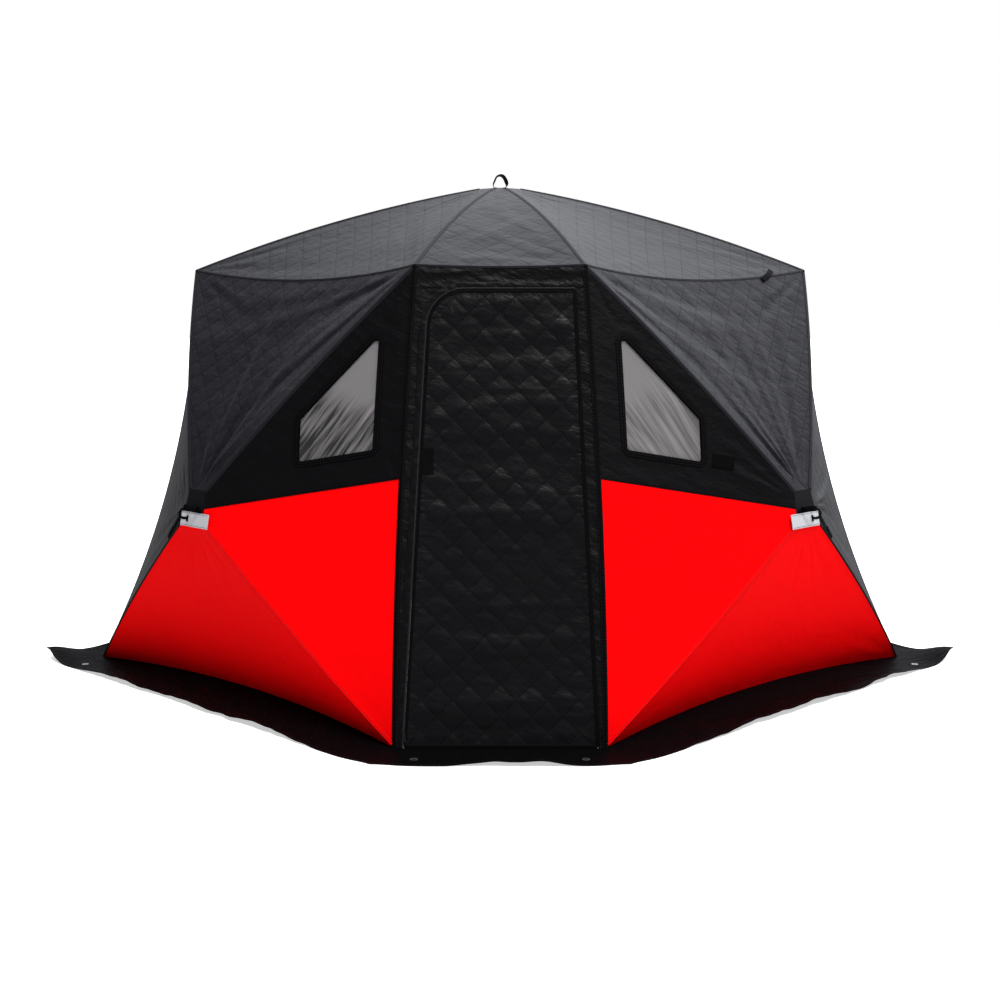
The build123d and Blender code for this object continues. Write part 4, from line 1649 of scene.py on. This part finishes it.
@dataclass
class DoorWall:
    """Narrow front wall with its jambs, header, quilted door and the flap over the zipper."""

    plan: Plan
    quilt_height: float = 0.0022
    fold_height: float = 0.0150
    leaf_lowest: float = -0.002
    jamb_fold: float = 0.0042
    header_fold: float = 0.0066
    spacing: float = 0.0075
    seed: int = 91

    def __post_init__(self) -> None:
        """Works out the doorway."""
        s, front = self.plan.sizes, ("front_left", "front_right")
        self.top = self.plan.door_rise - s.header_depth
        self.lean = (s.door_wall_base_half_width - s.door_wall_eave_half_width) / self.plan.door_rise
        self.seams = [self.plan.corner_seam(corner) for corner in front]
        self.surface = self.plan.surface(self.plan.hem_edge(*front), self.plan.eave_edge(*front), *self.seams)
        self.left_slope, self.right_slope = (
            float(line(np.array(1.0)) - line(np.array(0.0))) for line in (self.left_line, self.right_line)
        )

    def left_line(self, y: Array, inset: float = 0.0) -> Array:
        """Left edge of the doorway, without its round corner."""
        s = self.plan.sizes
        jamb = s.left_jamb_base + (s.left_jamb_top - s.left_jamb_base) * y / self.top
        return -(s.door_wall_base_half_width - self.lean * y) + jamb + inset

    def right_line(self, y: Array, inset: float = 0.0) -> Array:
        """Right edge of the doorway, where the door is sewn on."""
        s = self.plan.sizes
        jamb = s.right_jamb_base + (s.right_jamb_top - s.right_jamb_base) * y / self.top
        return s.door_wall_base_half_width - self.lean * y - jamb - inset

    def round_corner(self, inset: float) -> tuple[float, float, float, float]:
        """Middle of the round corner, its radius and the height where it starts."""
        radius = self.plan.sizes.door_corner_radius - inset
        length = math.sqrt(1 + self.left_slope**2)
        y = self.top - inset - radius
        x = float(self.left_line(np.array(y), inset)) + radius * length
        return x, y, radius, y + radius * self.left_slope / length

    def left_edge(self, y: Array, inset: float = 0.0) -> Array:
        """Left edge of the doorway with its round corner."""
        x, middle, radius, start = self.round_corner(inset)
        bent = x - np.sqrt(np.maximum(radius**2 - (y - middle) ** 2, 0.0))
        return np.where(y > start, bent, self.left_line(y, inset))

    def seam_x(self, y: Array, place: int) -> Array:
        """Where a side seam of the wall stands at a height."""
        share = np.linspace(0, 1, 200)
        points = point_on(self.seams[place], share) - self.plan.door_origin
        return np.interp(y, points @ self.plan.door_y, points @ self.plan.door_x)

    def heights(self, low: float, high: float, step: float) -> Array:
        """Rows up the wall, closer together under the round corner's top."""
        bend = 0.10
        lower = np.linspace(low, high - bend, max(int((high - bend - low) / step), 2))
        share = np.linspace(0, 1, 22)[1:]
        return np.concatenate([lower, high - bend + bend * np.sin(share * math.pi / 2)])

    def sheet(
        self, node: str, x: Array, y: Array, finish: FabricFinish, relief: Array, body: str, flat_inside: bool
    ) -> Object:
        """Makes one flat piece of the wall.

        Args:
            node: The solid that it stands for.
            x: Grid of places across the wall.
            y: Grid of places up the wall.
            finish: Its fabric.
            relief: Grid of heights off the wall.
            body: The body that it rides on.
            flat_inside: Whether the inside lies straight behind the outside.

        Returns:
            The piece.
        """
        plan = self.plan
        outer = plan.door_point(x, y, relief).reshape(-1, 3)
        flat = plan.door_point(x, y).reshape(-1, 3)
        behind = plan.centre + (flat - plan.centre) * plan.inner_scale
        if flat_inside:
            behind = flat - plan.door_normal * plan.sizes.fabric_thickness
        quads = grid_quads(*x.shape)
        gaps = np.stack([x - x[:, :1], x[:, -1:] - x, y - y[:1], y[-1:] - y])
        along = np.where(gaps.argmin(axis=0) < 2, y, x).ravel()
        uv = np.stack([x.ravel(), y.ravel()], axis=1)
        draft = MeshDraft()
        draft.add_shell(outer, behind, quads, uv, edge=gaps.min(axis=0).ravel(), along=along)
        obj = dress(draft.build(node + "_fabric"), finish, body, [node])
        return obj

    def build(self, thread: BarRow, tree: bpy.types.NodeTree) -> None:
        """Makes jambs, header, door, flap, zipper and the door's trim."""
        noise = Ripples(self.seed)
        y = self.heights(0.0, self.top, 0.014)
        for node, place in (("door_left_jamb", 0), ("door_right_jamb", 1)):
            share = np.linspace(0, 1, 11)
            inner = self.left_edge(y) if place == 0 else self.right_line(y)
            ends = [self.seam_x(y, place), inner][:: 1 if place == 0 else -1]
            x = ends[0][:, None] + (ends[1] - ends[0])[:, None] * share
            rows = np.repeat(y[:, None], len(share), axis=1)
            ease = smooth(np.minimum(share, 1 - share), 0.1, 0.5)
            relief = noise.layered(x * 14, rows * 24 + place * 9) * self.jamb_fold * ease
            self.sheet(node, x, rows, BLACK, relief, "shelter", False)
        self.build_header(noise)
        self.build_door(tree)
        self.build_flap(thread)
        self.build_zipper(tree)
        self.build_door_trim()
        self.build_hinge_strip()

    def build_header(self, noise: Ripples) -> None:
        """Makes the piece over the door, up to the eave."""
        columns = np.linspace(0, 1, 70)
        eave = point_on(self.plan.eave_edge("front_left", "front_right"), columns) - self.plan.door_origin
        top_x, top_y = eave @ self.plan.door_x, eave @ self.plan.door_y
        low_left, low_right = (float(self.seam_x(np.array(self.top), i)) for i in (0, 1))
        low_x = low_left + (low_right - low_left) * columns
        share = np.linspace(0, 1, 12)[:, None]
        x = low_x + (top_x - low_x) * share
        y = self.top + (top_y - self.top) * share
        ease = smooth(np.minimum(share, 1 - share), 0.0, 0.35)
        relief = noise.layered(x * 7 + 3, y * 34) * self.header_fold * ease
        self.sheet("door_header", x, y, BLACK, relief, "shelter", False)

    def leaf_relief(self, x: Array, y: Array) -> Array:
        """Height of the leaf's quilting and folds off the wall."""
        s, noise = self.plan.sizes, Ripples(self.seed)
        gap = s.door_clearance
        left, right = x - self.left_edge(y, gap), self.right_line(y, s.hinge_clearance) - x
        ease = smooth(np.min([left, right, y - gap, self.top - gap - y], axis=0), 0.004, 0.05)
        folds = noise.layered(x * 1.3 + 2, y * 7.0) * 0.55 + noise.layered(x * 5, y * 3 + 4) * 0.3
        folds = folds + noise.layered(x * 3 + 7, y * 24) * 0.15
        puffs = diamonds(x, y, QUILTED.quilt_pitch) * self.quilt_height
        return np.maximum((puffs + folds * self.fold_height) * ease, self.leaf_lowest)

    def build_door(self, tree: bpy.types.NodeTree) -> None:
        """Makes the quilted leaf and its stitches."""
        s = self.plan.sizes
        gap = s.door_clearance
        y = self.heights(gap, self.top - gap, self.spacing)
        left, right = self.left_edge(y, gap), self.right_line(y, s.hinge_clearance)
        x = left[:, None] + (right - left)[:, None] * np.linspace(0, 1, 84)
        rows = np.repeat(y[:, None], x.shape[1], axis=1)
        self.sheet("door", x, rows, QUILTED, self.leaf_relief(x, rows), "door", True)
        thread = BarRow("door_quilt_stitches", 0.0056, 0.0010, 0.0008, 0.0088, THREAD, "door")
        margin = 0.016
        y = np.arange(gap + margin, self.top - gap - margin, 0.008)
        left, right = self.left_edge(y, gap) + margin, self.right_line(y) - margin
        most = int((s.door_wall_base_half_width + self.top) / QUILTED.quilt_pitch)
        for way in (1.0, -1.0):
            for number in range(-most, most):
                x = number * QUILTED.quilt_pitch * math.sqrt(2) - way * y
                kept = (x > left) & (x < right)
                if kept.sum() > 2:
                    x, height = x[kept], self.leaf_relief(x[kept], y[kept])
                    thread.follow(self.plan.door_point(x, y[kept], height + 0.0003), self.plan.door_normal)
        thread.build(tree)

    def edge_path(self, inset: float = 0.0) -> tuple[Array, Array, Array, Array]:
        """Line along the doorway's left side and top, and the way out of the doorway."""
        x, middle, radius, start = self.round_corner(inset)
        y = np.linspace(0.001, start, 300)
        first = math.atan2(self.left_slope, -1.0)
        turn = np.linspace(first, math.pi / 2, 44)[1:]
        top_x = np.linspace(x, float(self.right_line(np.array(self.top))), 110)[1:]
        px = np.concatenate([self.left_line(y, inset), x + radius * np.cos(turn), top_x])
        py = np.concatenate([y, middle + radius * np.sin(turn), np.full(len(top_x), self.top - inset)])
        ox = np.concatenate([np.full(len(y), math.cos(first)), np.cos(turn), np.zeros(len(top_x))])
        oy = np.concatenate([np.full(len(y), math.sin(first)), np.sin(turn), np.ones(len(top_x))])
        return px, py, ox, oy

    def build_flap(self, thread: BarRow) -> None:
        """Makes the puckered band that covers the zipper, and the piping on its edge."""
        plan, s = self.plan, self.plan.sizes
        px, py, ox, oy = self.edge_path()
        across = np.array([0.0, 0.08, 0.25, 0.42, 0.58, 0.75, 0.92, 1.0]) * s.flap_width
        lift = np.array([0.0004, 0.0024, 0.0032, 0.0035, 0.0035, 0.0030, 0.0022, 0.0004])
        far = run_length(np.stack([px, py], axis=1))
        pucker = Ripples(23).layered(far[:, None] * 46, across * 30) * np.sin(math.pi * across / s.flap_width)
        x, y = px[:, None] + ox[:, None] * across, py[:, None] + oy[:, None] * across
        over, under = (plan.door_point(x, y, z).reshape(-1, 3) for z in (lift + 0.0022 * pucker, 0.0002))
        uv = np.stack([np.repeat(far, len(across)), np.tile(across, len(far))], axis=1)
        edge = np.tile(np.minimum(across, s.flap_width - across), len(far))
        draft, piping = MeshDraft(), MeshDraft()
        draft.add_shell(over, under, grid_quads(*x.shape), uv, edge=edge, along=uv[:, 0])
        dress(draft.build("door_zipper_flap_fabric"), BLACK, nodes=["door_zipper_flap"])
        for place in (0.004, 0.021):
            thread.follow(plan.door_point(px + ox * place, py + oy * place, 0.0029), plan.door_normal)
        cord, place = 0.0032, 0.0009
        line = plan.door_point(px + ox * place, py + oy * place, 0.0022)
        piping.add(*band(line, plan.door_normal, cord, cord, 1.0))
        dress(piping.build("door_flap_piping"), PIPING)

    def build_zipper(self, tree: bpy.types.NodeTree) -> None:
        """Makes the zipper in the gap round the door: tape and teeth on both sides, and the slider."""
        plan, gap = self.plan, self.plan.sizes.door_clearance
        normal = plan.door_normal
        sides = (("frame", "shelter", 0.0, -1, 0.25), ("leaf", "door", gap * 1.06, 1, 0.75))
        for side, body, edge, way, phase in sides:
            lines = [self.edge_path(inset)[:2] for inset in np.linspace(edge, gap / 2 + 0.0003 * way, 4)]
            grid = np.stack([plan.door_point(x, y, -0.003) for x, y in lines], axis=1)
            draft = MeshDraft()
            draft.add(*pad(grid, normal, -0.0006, 0.0006))
            if body == "door":
                lines = [self.edge_path(inset)[:2] for inset in gap + np.linspace(0.0004, 0.010, 5)]
                grid = np.stack([plan.door_point(x, y, self.leaf_relief(x, y)) for x, y in lines], axis=1)
                draft.add(*pad(grid[4:-6], normal, 0.0003, 0.0016))
            dress(draft.build(f"zipper_{side}_tape"), WEBBING, body)
            teeth = BarRow(f"zipper_{side}_teeth", 0.0014, 0.0026, 0.0018, 0.0034, ZIP_TEETH, body)
            x, y = self.edge_path(gap / 2 + 0.0004 * way)[:2]
            teeth.follow(plan.door_point(x, y, -0.0016), normal, phase)
            teeth.build(tree)
        x, y = (line[8:13] for line in self.edge_path(gap / 2)[:2])
        slider = MeshDraft()
        slider.add(*band(plan.door_point(x, y, 0.0014), normal, 0.0058, 0.0040))
        x, y = np.linspace(x[2], x[2] + 0.004, 12), np.linspace(y[2] + 0.006, y[2] - 0.030, 12)
        slider.add(*band(plan.door_point(x, y, 0.0048), normal, 0.0062, 0.0016))
        dress(slider.build("zipper_slider"), ZIP_TEETH)

    def build_door_trim(self) -> None:
        """Makes the strip along the foot of the door and the hook patch on its free edge."""
        plan, gap = self.plan, self.plan.sizes.door_clearance
        draft = MeshDraft()
        low = np.array(gap)
        x = np.linspace(float(self.left_edge(low, gap)), float(self.right_line(low)) - gap / 2, 60)
        y = np.array([-0.0008, 0.002, 0.006, 0.010, 0.0125])[:, None]
        draft.add(*pad(plan.door_point(x, y), plan.door_normal, 0.0003, 0.0019))
        x, y = np.linspace(-0.2815, -0.2354, 14), np.linspace(0.960, 1.060, 26)[:, None]
        x, y = np.broadcast_arrays(x, y)
        draft.add(*pad(plan.door_point(x, y, self.leaf_relief(x, y)), plan.door_normal, -0.0006, 0.0016))
        dress(draft.build("door_foot_strip_and_patch"), WEBBING, "door")

    def build_hinge_strip(self) -> None:
        """Makes the strip on which the door is sewn, half on the jamb and half on the leaf."""
        plan, gap = self.plan, self.plan.sizes.door_clearance
        slope = self.right_slope
        y = np.linspace(gap, self.top - gap, 120)[:, None]
        across = np.linspace(-0.009, 0.006, 16)
        draft = MeshDraft()
        grid = plan.door_point(self.right_line(y) + across, y - across * slope)
        draft.add(*pad(grid, plan.door_normal, 0.0004, 0.0017))
        strip = dress(draft.build("door_hinge_strip"), WEBBING, None)
        middle = plan.door_point(self.right_line(np.array(self.top / 2)), self.top / 2)
        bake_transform(strip)

    def lay_seams(self, walls: dict[str, HubWall], tapes: dict[str, SeamTape], thread: BarRow) -> None:
        """Lays tapes over the wall's side seams and the corners of the hut."""
        share = np.linspace(0, 1, SEAM_STEPS)
        of, left = EdgeFrame.of, EdgeSide.LEFT
        for name, side in (("left_front", left), ("right_front", EdgeSide.RIGHT)):
            wall, split = walls[name], walls[name].seam_share
            for piece, start, end in (("red_side_panel", 0.0, split), ("window_panel", split, 1.0)):
                beside = of(self.surface, side, start + (end - start) * share)
                tapes["black"].lay(of(wall.surfaces[piece], left, share), beside, thread)
        for tape, piece, *pair in (
            ("red", "red_side_panel", "left_back", "right_back"),
            ("charcoal", "window_panel", "left_back", "right_back"),
            ("charcoal", "plain_panel", "left_front", "left_back"),
            ("charcoal", "plain_panel", "right_front", "right_back"),
        ):
            tapes[tape].lay(*(of(walls[name].surfaces[piece], left, share) for name in pair), thread)


@dataclass
class Skirt:
    """Cloth that falls from the hem and lies on the ice, one length on each side."""

    plan: Plan
    spacing: float = 0.016
    cloth_thickness: float = 0.0022
    wave_height: float = 0.030
    curl_height: float = 0.042
    hump_height: float = 0.015
    hump_x: float = 0.15
    hump_reach: float = 0.075
    blunt_share: float = 0.17
    blunt_reach: float = 0.10
    ragged: float = 0.022
    fall_share: float = 0.3
    lowest: float = 0.0003

    def corner_at(self, corner: str, offset: float) -> Array:
        """Corner of the skirt's border at a distance out from the walls."""
        first, second = (self.plan.flat_outward(*pair) for pair in SIDES.values() if corner in pair)
        return self.plan.base[corner] + (first + second) * offset / (1 + first @ second)

    def build(self, side: str, seed: int, thread: BarRow) -> Object:
        """Makes one length of the skirt.

        Args:
            side: Name of the side.
            seed: Seed of its ripples.
            thread: Stitches for its hem.

        Returns:
            The length of cloth.
        """
        plan, s = self.plan, self.plan.sizes
        a, b = SIDES[side]
        knee, outside = (
            bowed(self.corner_at(a, far), self.corner_at(b, far)) for far in (s.skirt_knee, s.skirt_width)
        )
        length = float(np.linalg.norm(outside[2] - outside[0]))
        u = np.linspace(0, 1, int(length / self.spacing) + 1)
        far = u[None, :] * length
        near = np.minimum(far, length - far)
        fall, border = np.linspace(0, 1, 7)[:-1], np.linspace(0, 1, 15)
        blunt = 1 - self.blunt_share * np.exp(-((near / self.blunt_reach) ** 2)).T
        hem_line, knee_line, rim = (point_on(line, u) for line in (plan.hem_edge(a, b), knee, outside))
        rows = [hem_line * (1 - w) + knee_line * w for w in fall]
        rows += [knee_line + (rim - knee_line) * w * blunt for w in border]
        top = np.stack(rows)
        steep = self.fall_share
        out = np.concatenate([fall * steep, steep + border * (1 - steep)])[:, None]
        noise = Ripples(seed)
        wave = noise.layered(far * 4.2 + out * 1.5, out * 2.2) * 0.6 + 0.45
        free = smooth(out, 0.0, 0.25) * smooth(near, 0.25, 0.45)
        rise = np.maximum(wave, 0.0) * self.wave_height * free * (0.35 + 0.65 * out)
        for corner, tip in ((a, outside[0]), (b, outside[2])):
            if not corner.startswith("front"):
                rise = rise + self.curl_height * (1 - smooth(np.linalg.norm(top - tip, axis=-1), 0.03, 0.23))
        if side == "front":
            hump = np.exp(-(((top[..., 0] - self.hump_x) / self.hump_reach) ** 2))
            rise = rise + self.hump_height * hump * smooth(out, 0.3, 1.0)
        ragged = noise.layered(far * 6.0 + 20, far * 0 + 3.0) * self.ragged * free[-1:]
        edge_wave = ragged * smooth(out, 0.4, 1.0)
        flat_out = plan.flat_outward(a, b)
        top = top + rise[..., None] * UP - np.abs(edge_wave)[..., None] * flat_out
        top[0] -= flat_out * 0.002
        under = top - UP * self.cloth_thickness
        under[..., 2] = np.maximum(under[..., 2], self.lowest)
        face, quads = top.reshape(-1, 3), grid_quads(*top.shape[:2])
        uv = np.stack([np.tile(far[0], len(out)), np.repeat(out.ravel() * s.skirt_width, len(u))], axis=1)
        edge = np.minimum(uv[:, 1], s.skirt_width - uv[:, 1])
        draft = MeshDraft()
        draft.add_shell(face, under.reshape(-1, 3), quads, uv, edge=edge, along=uv[:, 0])
        obj = dress(draft.build(f"skirt_{side}_cloth"), SKIRT, nodes=["skirt_" + side])
        thread.follow(top[-2] + UP * 0.0006, UP)
        return obj


# Solids that are shown as they are
SOLIDS = {
    "corner_boots": HUB_PLASTIC, "hub_patches": HUB_PATCH, "roof_hub": HUB_PLASTIC, "roof_poles": POLE,
    "skirt_eyelets": STEEL, "wall_hubs": HUB_PLASTIC, "wall_poles": POLE,
}


class Hut:
    """The whole shelter."""

    def __init__(self, plan: Plan) -> None:
        """Sets out walls, roof and door wall."""
        self.plan = plan
        self.walls = {
            name: HubWall(plan, name, *corners, seed=100 + 20 * number)
            for number, (name, corners) in enumerate(HUB_WALLS.items())
        }
        self.roof = Roof(plan)
        self.door_wall = DoorWall(plan)

    def build(self) -> None:
        """Builds and dresses every piece."""
        thread = BarRow("stitches", 0.0070, 0.0013, 0.0009, 0.0120, THREAD)
        tapes = {
            "charcoal": SeamTape("charcoal_seam_tapes", CHARCOAL_TAPE),
            "black": SeamTape("black_seam_tapes", WEBBING),
            "red": SeamTape("red_seam_tapes", RED_TAPE),
        }
        panes, bindings = MeshDraft(), MeshDraft()
        area = 0.0
        for name, wall in self.walls.items():
            panel = wall.build_panels()
            wall.lay_seams(tapes, thread)
            lean, crush = (1.0, 1.0) if name.startswith("left") else (-1.0, 0.5)
            area += VinylPane(panel, self.plan, lean, crush, panes, bindings, thread).build()
        pane = dress(panes.build("window_panes"), VINYL, nodes=["windows"])
        dress(bindings.build("window_bindings"), WEBBING)
        self.roof.build()
        tree = stitch_tree()
        self.door_wall.build(thread, tree)
        self.build_trim(thread)
        self.roof.lay_seams(self.walls, self.door_wall.surface, tapes, thread)
        self.door_wall.lay_seams(self.walls, tapes, thread)
        for number, side in enumerate(SIDES):
            Skirt(self.plan).build(side, 300 + number, thread)
        for tape in tapes.values():
            tape.build()
        thread.build(tree)
        self.paint_solids()

    def build_trim(self, thread: BarRow) -> None:
        """Makes the trim on the hubs, the tab on the eave and the hook patch beside the right window."""
        webbing, tape = MeshDraft(), MeshDraft()
        for wall in self.walls.values():
            HubTrim(wall, webbing, tape, thread).build()
        s, apex = self.plan.sizes, self.plan.apex - UP * self.plan.sizes.roof_patch_drop
        webbing.add(*pull_loop(apex, self.plan.door_x, UP, 0.056, 0.056, 1.15))
        dress(tape.build("reflective_tapes"), TAPE_WHITE, nodes=["reflective_tabs"])
        dress(webbing.build("hub_straps_and_loops"), WEBBING, nodes=["pull_straps"])
        wall = self.walls["right_front"]
        spots = np.array([0.136, 0.172, 0.208])
        roof = EdgeFrame.of(self.roof.surfaces["right_front"], EdgeSide.LOWER, spots)
        below = EdgeFrame.of(wall.surfaces["top_panel"], EdgeSide.LOWER, spots)
        facing = unit(roof.normal[1] + below.normal[1])
        stops = [roof.over(0.030, 0.004)[0], roof.points[1] + facing * 0.0065, below.over(0.016, 0.004)[2]]
        patches = MeshDraft()
        patches.add(*band(through(stops, 20), facing, s.strap_width, s.strap_thickness))
        surface, shape = wall.surfaces["window_panel"], wall.shape
        x, y = np.meshgrid(np.linspace(0.038, 0.134, 22), np.linspace(-0.013, 0.046, 13))
        places = np.stack([x.ravel(), y.ravel()], axis=1) + shape.corners()[2]
        u, v = shape.find_on(surface, places)
        normal = surface.normal(u, v).reshape(*x.shape, 3)
        patches.add(*pad(surface.at(u, v).reshape(*x.shape, 3), normal, -0.001, 0.0042))
        dress(patches.build("eave_tab_and_window_patch"), WEBBING)

    def paint_solids(self) -> None:
        """Paints the solids that are shown as they are."""
        for node, finish in SOLIDS.items():
            paint(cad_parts[node], finish)
            log.info("%s: solid painted", node)


@dataclass
class Stage:
    """Pale floor, soft light and the camera at the photograph's angle."""

    plan: Plan
    camera_distance: float = 6.4655
    camera_height: float = 1.5426
    camera_pitch: float = 7.445
    lens: float = 54.14
    sun_strength: float = 3.15
    sun_tilt: tuple[float, float] = (24.0, 11.0)
    sun_angle: float = 22.0
    sky: tuple[float, float] = (0.07, 2.3)
    sky_focus: float = 2.3
    sky_way: Triple = (0.33, 0.48, 0.81)
    sky_tint: Triple = (0.93, 0.95, 1.0)
    floor_bounce: float = 0.8
    floor_gloss: float = 0.12
    floor_tone: float = 0.95
    floor_glow: float = 0.55
    floor_reach: float = 60.0

    def build(self) -> None:
        """Sets up floor, world, lamps and camera."""
        scene = bpy.context.scene
        scene.view_settings.view_transform = "Standard"
        camera = scene.camera = placed("camera", bpy.data.cameras.new("camera"))
        camera.data.lens = self.lens
        camera.data.sensor_width = 36.0
        camera.location = (0.0, self.plan.axis_y - self.camera_distance, self.camera_height)
        camera.rotation_euler = (math.radians(90 - self.camera_pitch), 0.0, 0.0)
        self.build_floor()
        self.build_sky()
        self.build_lamps()

    def build_floor(self) -> None:
        """Lays a large pale floor under the hut."""
        mesh = bpy.data.meshes.new("floor")
        far = self.floor_reach
        corners = [(x * far, y * far, 0) for x, y in ((-1, -1), (1, -1), (1, 1), (-1, 1))]
        mesh.from_pydata(corners, [], [(0, 1, 2, 3)])
        floor = placed("floor", mesh)
        p = Painter("pale floor")
        seen, shiny = p.seen(), p.node("ShaderNodeLightPath").outputs["Is Glossy Ray"]
        bounce = p.sum("MULTIPLY_ADD", shiny, self.floor_gloss - self.floor_bounce, self.floor_bounce)
        colour = p.node("ShaderNodeMix", {0: seen, 2: bounce, 3: self.floor_tone}).outputs[0]
        shine = p.sum("MULTIPLY", seen, self.floor_glow)
        glow = p.node("ShaderNodeEmission", {"Color": (1, 1, 1, 1), "Strength": shine}).outputs[0]
        matt = p.node("ShaderNodeBsdfDiffuse", {"Color": colour}).outputs[0]
        mesh.materials.append(p.finish(p.node("ShaderNodeAddShader", {0: matt, 1: glow}).outputs[0]))

    def build_sky(self) -> None:
        """Gives a sky that is white to the eye and lights the hut from above and from the right."""
        world = bpy.data.worlds.new("overcast sky")
        bpy.context.scene.world = world
        p = Painter(world.name, world)
        way = p.node("ShaderNodeTexCoord").outputs["Generated"]
        facing = p.node("ShaderNodeVectorMath", {0: way, 1: self.sky_way}, operation="DOT_PRODUCT")
        lobe = p.sum("POWER", p.sum("MAXIMUM", facing.outputs["Value"], 0.0), self.sky_focus)
        light = p.node("ShaderNodeMapRange", {0: lobe, 1: 0.0, 2: 1.0, 3: self.sky[0], 4: self.sky[1]})
        seen = p.seen()
        strength = p.node("ShaderNodeMix", {0: seen, 2: light.outputs[0], 3: 1.0}).outputs[0]
        tints = {0: seen, 6: (*self.sky_tint, 1), 7: (1, 1, 1, 1)}
        tint = p.node("ShaderNodeMix", tints, data_type="RGBA").outputs[2]
        p.finish(p.node("ShaderNodeBackground", {"Color": tint, "Strength": strength}).outputs[0])

    def build_lamps(self) -> None:
        """Adds the broad soft sun."""
        lamp = bpy.data.lights.new("soft sun", "SUN")
        lamp.energy = self.sun_strength
        lamp.angle = math.radians(self.sun_angle)
        sun = placed("soft sun", lamp)
        sun.rotation_euler = (*map(math.radians, self.sun_tilt), 0.0)


def main() -> None:
    """Builds the hut piece by piece."""
    logging.basicConfig(level=logging.INFO, format="%(name)s %(message)s")
    plan = Plan(Sizes())
    Hut(plan).build()
    Stage(plan).build()


if __name__ == "__main__":
    main()
